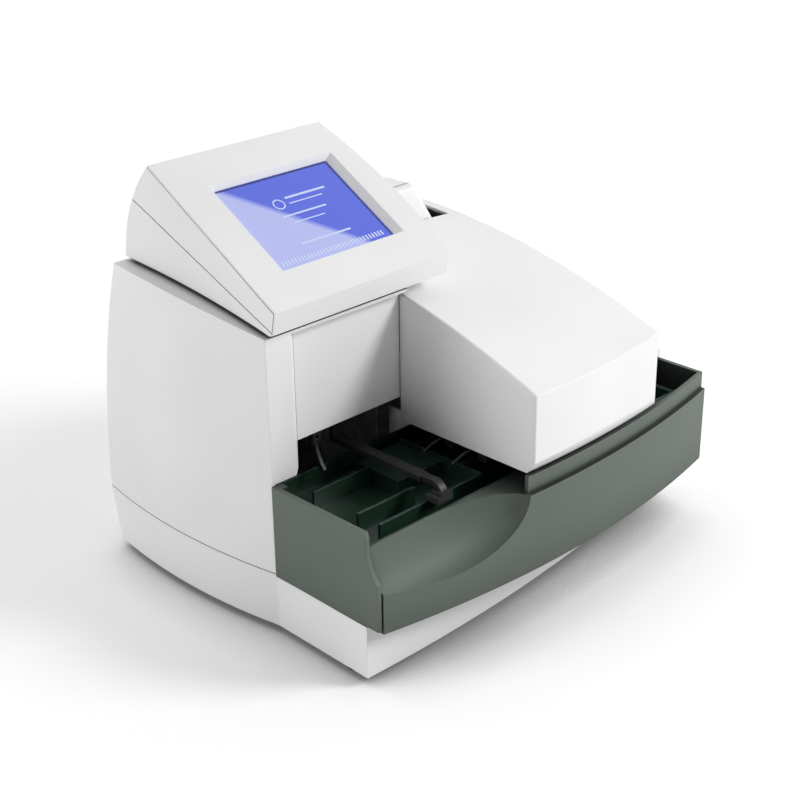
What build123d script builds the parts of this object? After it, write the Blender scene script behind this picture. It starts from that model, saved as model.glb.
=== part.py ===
"""Bench-top urine strip analyzer: white housing, tilted display head, optics wing and a
dark green strip drawer that slides out at the front.

Millimetres, +Z up. While the pieces are made, X runs from the drawer's left face to the right,
Y from the drawer's front corners to the back and Z up from the table. Each piece is moved at the
end, so that the origin lies under the middle of the housing, on the table.
"""
import os
from math import atan2, cos, hypot, radians, sin, sqrt

from build123d import *

# ---------------------------------------------------------------- driving dimensions
# Overall
WIDTH = 418.0              # drawer front, side to side
BODY_FRONT = 120.0         # tower front face, behind the drawer's front corners
BODY_BACK = 347.0          # rear face at the seam
SIDE_BULGE = 10.4          # how far the housing's side arcs stand out
SIDE_INSET = 1.5           # housing side behind the drawer's side, at the tower front
WALL = 2.6                 # moulded shell wall
SEAM_GAP = 0.8             # open line between two shells
RUN = 0.4                  # clearance between a moving piece and its neighbours
TOUCH = 0.1                # gap between two fixed pieces that meet

# Lower casing and feet
FOOT_HEIGHT = 8.0
FOOT_RADIUS = 9.0
BASE_FRONT_LEFT = 13.0     # front wall at its left end
BASE_FRONT_MID = 15.6
BASE_FRONT_RIGHT = 50.0    # front wall at its right end
BASE_BACK_LOW = 334.0      # rear wall at the bottom edge
SEAM_Z = 57.0
CHASSIS_Z = 52.0           # underside of the metal chassis plate
CHASSIS_THICK = 2.0
LEDGE_WIDTH = 6.0

# Tower, left of the strip bay
TOWER_RIGHT = 155.0
STRIP_WIDTH = 27.0         # flat strip left of the recess
RECESS_LEFT = 38.0
RECESS_DEPTH = 10.3
PANEL_LOW = 162.0
TOWER_TOP = ((117.0, 264.5), (202.0, 277.8), (307.0, 285.3))
REAR_MID = (329.5, 190.0)
REAR_TOP = (300.5, 281.0)
SHOULDER_FRONT = 52.0
SHOULDER_Z = 148.0
SHOULDER_BACK_Z = 160.0

# Optics wing
WING_RIGHT = 333.0
WING_LOW = 140.0
WING_SETBACK = (1.0, 5.0, 8.4)   # wing front behind the drawer's front arc: left, middle, right
CHIN_SETBACK = (8.4, 8.4, 8.4)   # the same at its lower edge, which slants back
CHIN_HIGH = 151.0
WING_TOP = ((-15.2, 212.0), (128.4, 256.2), (271.2, 273.8))
WING_TILT = 2.9            # the top falls to the right, degrees
WING_EDGE = 2.0

# Display head
HEAD_LEFT = 4.0
HEAD_EDGE = ((96.0, 190.0), (165.0, 197.5), (254.0, 186.0))
LIP_LOW = (112.5, 268.2)
LIP_TOP = (108.5, 287.4)
HEAD_TOP = (257.0, 372.0)
HEAD_SEAM_BACK = (HEAD_TOP[0] + 25.0, HEAD_TOP[1] - 32.6)
HEAD_LOW_BACK = (298.0, 288.0)
HEAD_GROOVE = 4.0
BEZEL_SKIN = 1.6
SCREEN_WIDTH = 121.5
SCREEN_HEIGHT = 93.5
SCREEN_LEFT = 42.0
SCREEN_UP = 38.0           # window's lower edge above the lip, along the slope
SCREEN_DEPTH = 5.0
FUNNEL_SIDE = 3.4          # how much wider the recess is at the bezel face
FUNNEL_RIGHT = 6.5

# Drawer
TRAY_LOW = 56.0
FRONT_LOW = 52.8           # lower edge of the drawer front
SKIRT_BACK = BASE_FRONT_LEFT - 2.5   # clears the bulge of the lower casing's front
TRAY_WALL = 4.0
TRAY_FLOOR = 3.0
RIM_Z = 138.0
RIB_Z = 124.0
LIP_Z = 139.4
APRON_SAG = 22.7           # bow of the drawer front
LIP_INSET = 3.8
LIP_THICK = 3.6
LIP_START = 151.8
FRONT_INNER = 15.0         # inner face of the drawer front
CHEEK_EDGE = ((0.0, 96.0), (8.8, 110.0), (11.7, 133.5))
SCOOP_END = 66.0           # where the straight trough ends and the bowl starts
SCOOP_LENGTH = 84.5
SCOOP_AXIS_Y = -21.0
SCOOP_DEPTH = 34.5
SCOOP_HEIGHT = 44.0
PLATFORM_FLOOR = 104.0
PLATFORM_BACK = 142.0
PLATFORM_RIGHT = 218.0
RIB_THICK = 2.6
RIB_LEFT = 35.0
RUNNER_WIDTH = 8.0
RUNNER_HEIGHT = 6.0
RUNNER_BACK = 300.0
RUNNER_INSET = 12.0

# Pusher, rake and scanner
BAR_X = 98.0
BAR_WIDTH = 10.0
BAR_Z = 134.4
BAR_THICK = 4.6
BAR_FRONT = 46.0
PUSHER_ROD_Y = 162.0
PUSHER_ROD_Z = 190.0
PUSHER_ROD_PITCH = 26.0
ROD_RADIUS = 3.0
BORE_PLAY = 0.05
CARRIAGE_WIDTH = 20.0
PULLEY_RADIUS = 6.0
RAKE_X = 165.0
RAKE_ROD_RADIUS = 1.6
OPTICS_Z = 146.4
OPTICS_THICK = 1.6
SCAN_X = 225.0
SCAN_Z = 168.0
SCAN_HALF = 30.0
SCAN_START = 50.0
SCAN_LENGTH = 44.0
SCAN_FORE = 34.0
SCAN_AFT = 76.0

# Printer
PRINTER_LEFT = 203.0
PRINTER_RIGHT = 304.0
PRINTER_FRONT = 231.0
PRINTER_BACK = 297.0       # rear edge of the printer bay
LID_BACK = 290.0
PRINTER_TOP = 297.0
PRINTER_SLOT = 2.0
COWL_DEPTH = 16.0
NOTCH_WIDTH = 16.0         # finger notch right of the lid
ROLL_WIDTH = 57.0
ROLL_RADIUS = 15.5
CORE_RADIUS = 6.0
PLATEN_RADIUS = 4.6

# Rear panel
PORT_LEFT = 34.0
PORT_RIGHT = 384.0
PORT_LOW = 68.0
PORT_HIGH = 138.0
PLATE_Y = 330.0
PLATE_THICK = 1.5
FAN_SIZE = 60.0
FAN_DEPTH = 15.0

# ---------------------------------------------------------------- derived places
MID_X = WIDTH / 2
MID_Y = (BODY_BACK - APRON_SAG) / 2
SLOPE = atan2(HEAD_TOP[1] - LIP_TOP[1], HEAD_TOP[0] - LIP_TOP[0])
CHASSIS_TOP = CHASSIS_Z + CHASSIS_THICK
PANEL_Y = BODY_FRONT + RECESS_DEPTH
UPPER_LOW = SEAM_Z + SEAM_GAP / 2
BASE_TOP = SEAM_Z - SEAM_GAP / 2
FAR = 600.0


# ---------------------------------------------------------------- helpers
def block(x, y, z):
    """A box from three (low, high) pairs."""
    middle = Pos((x[0] + x[1]) / 2, (y[0] + y[1]) / 2, (z[0] + z[1]) / 2)
    return middle * Box(x[1] - x[0], y[1] - y[0], z[1] - z[0])


def rod(axis, start, length, radius):
    """A round bar that runs from start along +X, +Y or +Z."""
    turn = {"x": Rot(0, 90, 0), "y": Rot(-90, 0, 0), "z": Rot(0, 0, 0)}[axis]
    return Pos(*start) * turn * Cylinder(radius, length, align=(Align.CENTER, Align.CENTER, Align.MIN))


def polygon(*points):
    return make_face(Polyline(*points, close=True))


def side_prism(face, x):
    """A (y, z) outline, carried from x[0] to x[1]."""
    return extrude(Plane.YZ.offset(x[0]) * face, amount=x[1] - x[0], dir=(1, 0, 0))


def front_prism(face, y):
    """An (x, z) outline, carried from y[0] to y[1]."""
    plane = Plane(origin=(0, y[0], 0), x_dir=(1, 0, 0), z_dir=(0, -1, 0))
    return extrude(plane * face, amount=y[1] - y[0], dir=(0, 1, 0))


def plan_prism(face, z):
    """An (x, y) outline, carried from z[0] to z[1]."""
    return extrude(Pos(0, 0, z[0]) * face, amount=z[1] - z[0], dir=(0, 0, 1))


def circle_through(a, b, c):
    """Centre and radius of the circle through three points."""
    d = 2 * (a[0] * (b[1] - c[1]) + b[0] * (c[1] - a[1]) + c[0] * (a[1] - b[1]))
    s, t, u = (p[0] ** 2 + p[1] ** 2 for p in (a, b, c))
    centre_u = (s * (b[1] - c[1]) + t * (c[1] - a[1]) + u * (a[1] - b[1])) / d
    centre_v = (s * (c[0] - b[0]) + t * (a[0] - c[0]) + u * (b[0] - a[0])) / d
    return centre_u, centre_v, hypot(a[0] - centre_u, a[1] - centre_v)


def crown(points, u):
    """Height of the upper side of the circle through three points, at u."""
    centre_u, centre_v, radius = circle_through(*points)
    return centre_v + sqrt(radius ** 2 - (u - centre_u) ** 2)


def apron_y(x, inset=0.0):
    """Y of the drawer's bowed front at x."""
    radius = (MID_X ** 2 + APRON_SAG ** 2) / (2 * APRON_SAG)
    centre_y = radius - APRON_SAG
    return centre_y - sqrt((radius - inset) ** 2 - (x - MID_X) ** 2)


def apron_plan(x, inset, back):
    """Plan between the bowed front, moved in by inset, and a straight line at back."""
    middle = (x[0] + x[1]) / 2
    left, mid, right = ((u, apron_y(u, inset)) for u in (x[0], middle, x[1]))
    return make_face([ThreePointArc(left, mid, right), Line(right, (x[1], back)),
                      Line((x[1], back), (x[0], back)), Line((x[0], back), left)])


def casing_plan(inset=0.0):
    """Plan of the housing, moved in by inset: bowed sides, straight back and a swept front."""
    left, right = SIDE_INSET + inset, WIDTH - SIDE_INSET - inset
    bulge_y = (BODY_FRONT + BODY_BACK) / 2
    back = BODY_BACK - inset
    front_left, front_right = (inset, BASE_FRONT_LEFT + inset), (WIDTH - inset, BASE_FRONT_RIGHT + inset)
    return make_face([
        ThreePointArc(front_left, (WIDTH * 0.44, BASE_FRONT_MID + inset), front_right),
        Line(front_right, (right, BODY_FRONT)),
        ThreePointArc((right, BODY_FRONT), (WIDTH + SIDE_BULGE - inset, bulge_y), (WIDTH - inset, back)),
        Line((WIDTH - inset, back), (inset, back)),
        ThreePointArc((inset, back), (inset - SIDE_BULGE, bulge_y), (left, BODY_FRONT)),
        Line((left, BODY_FRONT), front_left),
    ])


def behind_rear(inset):
    """Everything behind the curved rear face, which is moved in by inset."""
    low = (BODY_BACK - inset, SEAM_Z)
    high = (REAR_TOP[0] - inset, REAR_TOP[1])
    face = make_face([
        ThreePointArc(low, (REAR_MID[0] - inset, REAR_MID[1]), high),
        Line(high, (high[0] - 18, FAR)), Line((high[0] - 18, FAR), (FAR, FAR)),
        Line((FAR, FAR), (FAR, 0)), Line((FAR, 0), (low[0], 0)), Line((low[0], 0), low),
    ])
    return side_prism(face, (-FAR / 2, FAR))


def above_deck(drop):
    """Everything above the wing's crowned, tilted top, which is lowered by drop."""
    front, mid, back = ((y, z - drop) for y, z in WING_TOP)
    far_back = (FAR, back[1] + 8)
    far_front = (-FAR / 4, front[1] - 60)
    face = make_face([
        ThreePointArc(front, mid, back), Line(back, far_back), Line(far_back, (FAR, FAR)),
        Line((FAR, FAR), (-FAR / 4, FAR)), Line((-FAR / 4, FAR), far_front), Line(far_front, front),
    ])
    pivot = Pos(TOWER_RIGHT, 0, WING_TOP[1][1])
    return pivot * Rot(0, WING_TILT, 0) * pivot.inverse() * side_prism(face, (0, FAR))


def deck_z(x, y):
    """Height of the wing's top at a place."""
    return crown(WING_TOP, y) - (x - TOWER_RIGHT) * sin(radians(WING_TILT))


def keep(name, shape):
    """Move a piece to the object's own frame and write it to its file."""
    placed = Pos(-MID_X, -MID_Y, 0) * shape
    solids = placed.solids()
    result = solids[0] if len(solids) == 1 else Compound(solids)
    result.label = name
    export_step(result, f"parts/{name}.step")


# ---------------------------------------------------------------- housing
def base_casing():
    """Lower tub: floor, walls, a ledge for the chassis plate and bosses for the screws."""
    lean = polygon((BASE_BACK_LOW, FOOT_HEIGHT - 1), (BODY_BACK, SEAM_Z), (FAR, SEAM_Z),
                   (FAR, FOOT_HEIGHT - 1))
    rear_cut = side_prism(lean, (-FAR / 4, FAR))
    rear_inner = Pos(0, -WALL, 0) * rear_cut
    outer = plan_prism(casing_plan(), (FOOT_HEIGHT, BASE_TOP)) - rear_cut
    hollow_plan, ledge_plan = casing_plan(WALL), casing_plan(WALL + LEDGE_WIDTH)
    floor_top = FOOT_HEIGHT + WALL
    upper_hollow = plan_prism(hollow_plan, (CHASSIS_Z, SEAM_Z + 1))
    lower_hollow = plan_prism(hollow_plan, (floor_top, CHASSIS_Z - 4)) - rear_inner
    ledge_hollow = plan_prism(ledge_plan, (CHASSIS_Z - 5, CHASSIS_Z + 1)) - rear_inner
    tub = outer - upper_hollow - lower_hollow - ledge_hollow
    # the front walls stop below the drawer, which slides over them
    drawer_room = block((-5, WIDTH + 5), (0, BODY_FRONT), (TRAY_LOW - 1.0, SEAM_Z + 1))
    tub -= drawer_room
    for x in foot_places_x():
        for y in foot_places_y():
            tub += rod("z", (x, y, floor_top - 0.5), CHASSIS_Z - floor_top + 0.5, 5.0)
            tub -= rod("z", (x, y, FOOT_HEIGHT - 1), 20.0, 2.2)
    for i in range(9):
        slot_x = MID_X - 60 + i * 15
        tub -= block((slot_x, slot_x + 5), (150, 210), (FOOT_HEIGHT - 1, floor_top + 1))
    return tub


def foot_places_x():
    return 22.0, WIDTH - 22.0


def foot_places_y():
    return 64.0, BASE_BACK_LOW - 24.0


def add_feet():
    """Four rubber feet under the lower casing."""
    names = {(0, 0): "foot_front_left", (1, 0): "foot_front_right",
             (0, 1): "foot_rear_left", (1, 1): "foot_rear_right"}
    for (i, j), name in names.items():
        x, y = foot_places_x()[i], foot_places_y()[j]
        if (i, j) == (0, 0):
            x, y = 15.0, 40.0
        foot = rod("z", (x, y, 0), FOOT_HEIGHT, FOOT_RADIUS)
        foot = fillet(foot.edges().filter_by(GeomType.CIRCLE).group_by(Axis.Z)[0], 1.2)
        keep(name, foot)


def upper_casing():
    """Upper shell: left tower, rear wall and the low shoulder on the right."""
    side_room = plan_prism(casing_plan(), (UPPER_LOW, FAR))
    inner_room = plan_prism(casing_plan(WALL), (0, FAR))
    rear, rear_inner = behind_rear(0), behind_rear(WALL)

    def tower(drop, front, x):
        low, mid, high = ((y, z - drop - HEAD_GROOVE / 2) for y, z in TOWER_TOP)
        start = (front, low[1] - (low[0] - front) * 0.17)
        end = (FAR / 1.5, high[1] + 4)
        face = make_face([ThreePointArc(low, mid, high), Line(high, end), Line(end, (end[0], 0)),
                          Line((end[0], 0), (front, 0)), Line((front, 0), start), Line(start, low)])
        return side_prism(face, x)

    outer_tower = (side_room & tower(0, BODY_FRONT - 3.5, (-FAR / 4, TOWER_RIGHT - RUN))) - rear
    outer_tower -= block((-FAR, FAR), (-FAR, BODY_FRONT), (0, FAR))
    room = (inner_room & tower(WALL, BODY_FRONT + WALL, (-FAR / 4, TOWER_RIGHT - RUN - WALL)))
    room -= rear_inner

    # low body: rear wall and right shoulder
    shoulder = polygon((SHOULDER_FRONT, 0), (SHOULDER_FRONT, SHOULDER_Z), (FAR, SHOULDER_Z + (
        SHOULDER_BACK_Z - SHOULDER_Z) * (FAR - SHOULDER_FRONT) / (BODY_BACK - SHOULDER_FRONT)), (FAR, 0))
    low_outer = (side_room & side_prism(shoulder, (TOWER_RIGHT - 1, FAR))) - rear
    low_outer -= block((0, FAR), (-FAR, BODY_FRONT), (0, LIP_Z + 1.6))
    low_outer -= block((0, WING_RIGHT + TOUCH * 3), (-FAR, PLATE_Y - 10), (0, FAR))
    low_room = (inner_room & side_prism(shoulder, (0, FAR))) - rear_inner
    low_room = Pos(0, 0, -WALL) * low_room
    low_room -= block((0, FAR), (-FAR, SHOULDER_FRONT + WALL), (0, FAR))
    middle_room = block((TOWER_RIGHT - 4, WING_RIGHT + TOUCH * 3), (0, FAR), (0, FAR)) - rear_inner
    wing_seat = block((TOWER_RIGHT - 1, WING_RIGHT + TOUCH * 3), (0, FAR), (SHOULDER_Z + 2, FAR))

    shell = (outer_tower - room) + ((low_outer - low_room - middle_room) - wing_seat)
    shell -= block((-FAR, FAR), (0, FAR), (0, UPPER_LOW))

    # strip bay: recess left of the wing and the drawer's mouth below it
    shell -= block((STRIP_WIDTH, TOWER_RIGHT + 1), (0, BODY_FRONT + WALL + 1),
                   (RIM_Z - 20, crown(TOWER_TOP, BODY_FRONT) - HEAD_GROOVE / 2 - WALL))
    mouth_side = SIDE_INSET + WALL + 0.3
    shell -= block((mouth_side, WIDTH - mouth_side), (0, BODY_FRONT + WALL + 1), (0, RIM_Z + RUN))
    wing_side = (TOWER_RIGHT - RUN - WALL - 0.1, TOWER_RIGHT + 1)
    shell -= block(wing_side, (0, PANEL_Y + WALL + RUN), (0, FAR)) & tower(WALL, 0, wing_side)
    shell -= block(wing_side, (0, FAR), (0, WING_TOP[1][1] - 20)) - rear_inner
    reveal = polygon((STRIP_WIDTH, BODY_FRONT), (RECESS_LEFT, PANEL_Y), (RECESS_LEFT, PANEL_Y + WALL),
                     (STRIP_WIDTH - WALL * 1.2, BODY_FRONT + WALL), (STRIP_WIDTH - WALL * 1.2, BODY_FRONT))
    reveal_top = crown(TOWER_TOP, BODY_FRONT) - HEAD_GROOVE / 2 - WALL / 2
    shell += plan_prism(reveal, (RIM_Z + RUN, reveal_top))

    # rear opening with a collar that the connector plate bolts to
    collar = block((PORT_LEFT - 8, PORT_RIGHT + 8), (PLATE_Y + PLATE_THICK, FAR),
                   (UPPER_LOW, PORT_HIGH + 8)) - rear
    shell += collar & side_room
    shell -= block((PORT_LEFT, PORT_RIGHT), (PLATE_Y - 1, FAR), (PORT_LOW, PORT_HIGH))
    return shell


def recess_panel():
    """White panel at the back of the strip bay, with a folded lower edge."""
    top = crown(TOWER_TOP, PANEL_Y) - HEAD_GROOVE / 2 - WALL - TOUCH
    x = (RECESS_LEFT + 0.3, TOWER_RIGHT - RUN)
    panel = block(x, (PANEL_Y, PANEL_Y + WALL), (PANEL_LOW, top))
    fold = block(x, (PANEL_Y, PANEL_Y + 7.5), (PANEL_LOW, PANEL_LOW + 2.4))
    return panel + fold


def wing_plan(x, inset, setbacks=WING_SETBACK):
    """Plan of the wing; its bowed front is moved in by inset."""
    across = (x[0], (x[0] + x[1]) / 2, x[1])
    left, mid, right = ((u, apron_y(u) + setback + inset) for u, setback in zip(across, setbacks))
    return make_face([ThreePointArc(left, mid, right), Line(right, (x[1], FAR)),
                      Line((x[1], FAR), (x[0], FAR)), Line((x[0], FAR), left)])


def wing_chin(inset):
    """What the slanted lower edge takes off the wing's front."""
    x = (TOWER_RIGHT - 4, WING_RIGHT + 4)
    kept = loft([Plane.XY.offset(WING_LOW) * wing_plan(x, inset, CHIN_SETBACK),
                 Plane.XY.offset(CHIN_HIGH) * wing_plan(x, inset - 0.8)])
    return block((x[0] - 1, x[1] + 1), (-FAR, 60), (WING_LOW, CHIN_HIGH)) - kept


def optics_cover():
    """White cover over the optics: bowed front, crowned top and the printer bay."""
    x = (TOWER_RIGHT, WING_RIGHT)
    plan = wing_plan(x, 0)
    outer = plan_prism(plan, (WING_LOW, FAR / 2)) - above_deck(0) - behind_rear(0)
    top_edges = [e for e in outer.edges() if e.center().Z > 195 and e.center().Y < 290]
    front_edges = [e for e in outer.edges() if abs(e.center().Z - 175) < 8 and e.center().Y < 0]
    outer = fillet(top_edges + front_edges, WING_EDGE) - wing_chin(0)
    inner_plan = wing_plan((x[0] + WALL, x[1] - WALL), WALL)
    inner = plan_prism(inner_plan, (0, FAR / 2)) - above_deck(WALL) - behind_rear(WALL) - wing_chin(WALL)
    cover = outer - inner
    cover -= block((x[0] - 1, x[0] + WALL + 1), (PANEL_Y - RUN, FAR), (0, WING_TOP[0][1] + 10))
    tuck = block((x[0] - 1, x[0] + WALL), (PANEL_Y - RUN, FAR), (0, FAR)) - above_deck(WALL)
    cover -= tuck
    cover -= block((0, FAR), (PLATE_Y - 30, FAR), (0, SHOULDER_Z + 2 + TOUCH))
    bay = block((PRINTER_LEFT - RUN, PRINTER_RIGHT + NOTCH_WIDTH), (PRINTER_FRONT, PRINTER_BACK + RUN),
                (WING_TOP[1][1] - 20, FAR))
    return cover - bay


def chassis_plate():
    """Metal plate on the lower casing's ledge that carries every mechanism."""
    plate = plan_prism(casing_plan(WALL + 0.6), (CHASSIS_Z, CHASSIS_TOP))
    return plate - block((150, 250), (210, 250), (0, FAR))


def rear_panel():
    """Metal plate behind the rear opening, cut out for each connector."""
    plate = block((PORT_LEFT - 6, PORT_RIGHT + 6), (PLATE_Y, PLATE_Y + PLATE_THICK),
                  (CHASSIS_TOP + TOUCH, PORT_HIGH + 6))
    for spec in (INLET, ROCKER_SEAT):
        plate -= block(spec[0], (PLATE_Y - 1, PLATE_Y + PLATE_THICK + 1), spec[1])
    for x, width in PORTS:
        plate -= block((x, x + width), (PLATE_Y - 1, PLATE_Y + PLATE_THICK + 1), PORT_Z)
    plate -= rod("y", (FAN_X, PLATE_Y - 1, FAN_Z), PLATE_THICK + 2, FAN_SIZE / 2 - 3)
    return plate


# ---------------------------------------------------------------- rear connectors and power
INLET = ((44.0, 72.0), (84.0, 104.0))
ROCKER_SEAT = ((84.0, 98.0), (84.0, 104.0))
PORTS = ((124.0, 31.0), (168.0, 31.0), (212.0, 16.0))
PORT_Z = (88.0, 100.0)
FAN_X = 340.0
FAN_Z = 103.0


def inlet_socket():
    """Three-pin mains inlet: flanged cup with flat blades."""
    (x0, x1), (z0, z1) = INLET
    y = (PLATE_Y - 20, PLATE_Y + PLATE_THICK + 2)
    cup = block((x0 + 0.2, x1 - 0.2), y, (z0 + 0.2, z1 - 0.2))
    cup += block((x0 - 8, x1 + 8), (PLATE_Y + PLATE_THICK, y[1]), (z0 - 2, z1 + 2))
    cup -= block((x0 + 2, x1 - 2), (PLATE_Y - 14, FAR), (z0 + 2.4, z1 - 2.4))
    middle = (x0 + x1) / 2
    for dx, dz in ((-7, -2), (7, -2), (0, 2.5)):
        cup += block((middle + dx - 1, middle + dx + 1), (PLATE_Y - 15, PLATE_Y - 2),
                     ((z0 + z1) / 2 + dz - 2.2, (z0 + z1) / 2 + dz + 2.2))
    return cup


def power_rocker():
    """Rocker of the mains switch, in its frame on the rear plate."""
    (x0, x1), (z0, z1) = ROCKER_SEAT
    x = (x0 + 1.6, x1 - 1.6)
    mid = (z0 + z1) / 2
    face_y = PLATE_Y + PLATE_THICK + 2.0
    half = (z1 - z0) / 2 - 2.7
    side = make_face([
        Line((face_y + 1.8, mid - half), (face_y + 0.4, mid)), Line((face_y + 0.4, mid), (face_y + 0.6, mid + half)),
        Line((face_y + 0.6, mid + half), (face_y - 4, mid + half - 0.8)),
        Line((face_y - 4, mid + half - 0.8), (face_y - 9, mid)),
        Line((face_y - 9, mid), (face_y - 4, mid - half + 0.8)),
        Line((face_y - 4, mid - half + 0.8), (face_y + 1.8, mid - half)),
    ])
    rocker = side_prism(side, x)
    return rocker + rod("x", (x[0] - 0.9, ROCKER_AXIS[0], ROCKER_AXIS[1]), x[1] - x[0] + 1.8, 1.2)


ROCKER_AXIS = (PLATE_Y + PLATE_THICK - 2.5, (ROCKER_SEAT[1][0] + ROCKER_SEAT[1][1]) / 2)


def switch_frame():
    """Frame of the mains switch with the bores that the rocker turns in."""
    (x0, x1), (z0, z1) = ROCKER_SEAT
    y = (PLATE_Y - 14, PLATE_Y + PLATE_THICK + 1.6)
    frame = block((x0 + 0.1, x1 - 0.1), y, (z0 + 0.1, z1 - 0.1))
    frame += block((x0 - 2, x1 + 2), (PLATE_Y + PLATE_THICK, y[1]), (z0 - 2, z1 + 2))
    frame -= block((x0 + 1.2, x1 - 1.2), (PLATE_Y - 12.4, FAR), (z0 + 1.2, z1 - 1.2))
    return frame - rod("x", (x0 - 0.5, *ROCKER_AXIS), x1 - x0 + 1, 1.2 + BORE_PLAY)


def port_block():
    """Serial and keyboard sockets on one small board."""
    board_y = (PLATE_Y - 22, PLATE_Y - 20)
    first, last = PORTS[0], PORTS[-1]
    block_all = block((first[0] - 4, last[0] + last[1] + 4), board_y, (PORT_Z[0] - 8, PORT_Z[1] + 8))
    for x, width in PORTS:
        shell = block((x + 0.3, x + width - 0.3), (board_y[1], PLATE_Y + 4), (PORT_Z[0] + 0.3, PORT_Z[1] - 0.3))
        shell += block((x - 2, x + width + 2), (board_y[1], PLATE_Y - 0.1), (PORT_Z[0] - 2, PORT_Z[1] + 2))
        shell -= block((x + 1.5, x + width - 1.5), (PLATE_Y - 5, FAR), (PORT_Z[0] + 1.5, PORT_Z[1] - 1.5))
        block_all += shell
    return block_all


def fan_frame():
    """Square fan housing against the rear plate, with a hub on four spokes."""
    half = FAN_SIZE / 2
    y = (PLATE_Y - FAN_DEPTH, PLATE_Y)
    frame = block((FAN_X - half, FAN_X + half), y, (FAN_Z - half, FAN_Z + half))
    frame -= rod("y", (FAN_X, y[0] - 1, FAN_Z), FAN_DEPTH + 2, half - 2)
    hub = rod("y", (FAN_X, y[1] - 3, FAN_Z), 3.0, 12.0)
    spokes = block((FAN_X - half + 1, FAN_X + half - 1), (y[1] - 2, y[1]), (FAN_Z - 1.5, FAN_Z + 1.5))
    spokes += block((FAN_X - 1.5, FAN_X + 1.5), (y[1] - 2, y[1]), (FAN_Z - half + 1, FAN_Z + half - 1))
    pin = rod("y", (FAN_X, y[0] + 3, FAN_Z), FAN_DEPTH - 4, 1.5)
    return frame + hub + spokes + pin


def fan_rotor():
    """Seven-bladed rotor on the fan's pin."""
    y = (PLATE_Y - FAN_DEPTH + 1, PLATE_Y - 3.6)
    length = y[1] - y[0]
    rotor = rod("y", (FAN_X, y[0], FAN_Z), length, 11.5)
    for i in range(7):
        blade = block((9, FAN_SIZE / 2 - 3), (-0.7, 0.7), (-length / 2 + 0.6, length / 2 - 0.6))
        pitch = Rot(32, 0, 0) * blade
        rotor += Pos(FAN_X, (y[0] + y[1]) / 2, FAN_Z) * Rot(90, 0, 0) * Rot(0, 0, i * 360 / 7) * pitch
    rotor &= rod("y", (FAN_X, y[0], FAN_Z), length, FAN_SIZE / 2 - 3)
    return rotor - rod("y", (FAN_X, y[0] + 1.5, FAN_Z), length, 1.5 + BORE_PLAY)


def power_supply():
    """Closed switching supply on the casing floor, under the chassis plate."""
    floor = FOOT_HEIGHT + WALL
    case = block((36, 150), (200, 300), (floor + 3, CHASSIS_Z - 3))
    for x in (42, 144):
        for y in (206, 294):
            case += rod("z", (x, y, floor), 4.0, 3.0)
    for i in range(6):
        case -= block((48 + i * 8, 51 + i * 8), (199, 203), (floor + 8, CHASSIS_Z - 8))
    return case


def main_board():
    """Controller board on stand-offs, with its processor, headers and capacitors."""
    floor = FOOT_HEIGHT + WALL
    top = floor + 7.6
    board = block((176, 330), (90, 220), (floor + 6, top))
    for x in (182, 324):
        for y in (96, 214):
            board += rod("z", (x, y, floor), 6.5, 3.0)
    board += block((236, 264), (140, 168), (top, top + 3))
    for i in range(5):
        board += block((184 + i * 28, 204 + i * 28), (200, 206), (top, top + 8))
    for i in range(4):
        board += rod("z", (300, 104 + i * 14, top), 12.0, 4.0)
    return board


def casing_screws():
    """Screws up through the lower casing's bosses, one beside each corner."""
    screws = []
    for x in foot_places_x():
        for y in foot_places_y():
            screw = rod("z", (x, y, FOOT_HEIGHT + 0.1), 18.0, 2.0)
            screws.append(screw)
    return Compound(screws)


# ---------------------------------------------------------------- display head
def head_plan(inset):
    (y0, x0), (y1, x1), (y2, x2) = HEAD_EDGE
    front, mid, back = (x0 - inset, y0), (x1 - inset, y1), (x2 - inset, y2)
    end = (x2 - 5 - inset, y2 + 70)
    return make_face([ThreePointArc(front, mid, back), Line(back, end), Line(end, (HEAD_LEFT + inset, end[1])),
                      Line((HEAD_LEFT + inset, end[1]), (HEAD_LEFT + inset, y0)),
                      Line((HEAD_LEFT + inset, y0), front)])


def head_outline():
    """Side view of the whole head, from the lip round to the tower's top."""
    low_front = (TOWER_TOP[0][0], TOWER_TOP[0][1] + HEAD_GROOVE / 2)
    low_mid = (TOWER_TOP[1][0], TOWER_TOP[1][1] + HEAD_GROOVE / 2)
    low_back = (HEAD_LOW_BACK[0], crown(TOWER_TOP, HEAD_LOW_BACK[0]) + HEAD_GROOVE / 2)
    return make_face([
        Line(LIP_LOW, LIP_TOP), Line(LIP_TOP, HEAD_TOP), ThreePointArc(HEAD_TOP, HEAD_SEAM_BACK, low_back),
        ThreePointArc(low_back, low_mid, low_front), Line(low_front, LIP_LOW),
    ])


def head_solid(inset=0.0):
    face = head_outline()
    if inset:
        face = offset(face, -inset, kind=Kind.INTERSECTION)
    x = (HEAD_LEFT + inset, FAR)
    return side_prism(face, x) & plan_prism(head_plan(inset), (0, FAR))


def front_band(depth):
    """The head's sloped face and lip, down to a depth below the surface."""
    up = (sin(SLOPE), -cos(SLOPE))
    corner = (LIP_TOP[0] + depth * 1.35, LIP_TOP[1] - depth * 0.65)
    top_in = (HEAD_TOP[0] + depth * up[0], HEAD_TOP[1] + depth * up[1])
    face = polygon(LIP_LOW, (LIP_LOW[0] - 2, LIP_LOW[1]), (LIP_TOP[0] - 2, LIP_TOP[1] + 2),
                   (HEAD_TOP[0], HEAD_TOP[1] + 2), HEAD_TOP, top_in, corner, (LIP_LOW[0] + depth, LIP_LOW[1]))
    return side_prism(face, (-FAR / 4, FAR))


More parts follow.
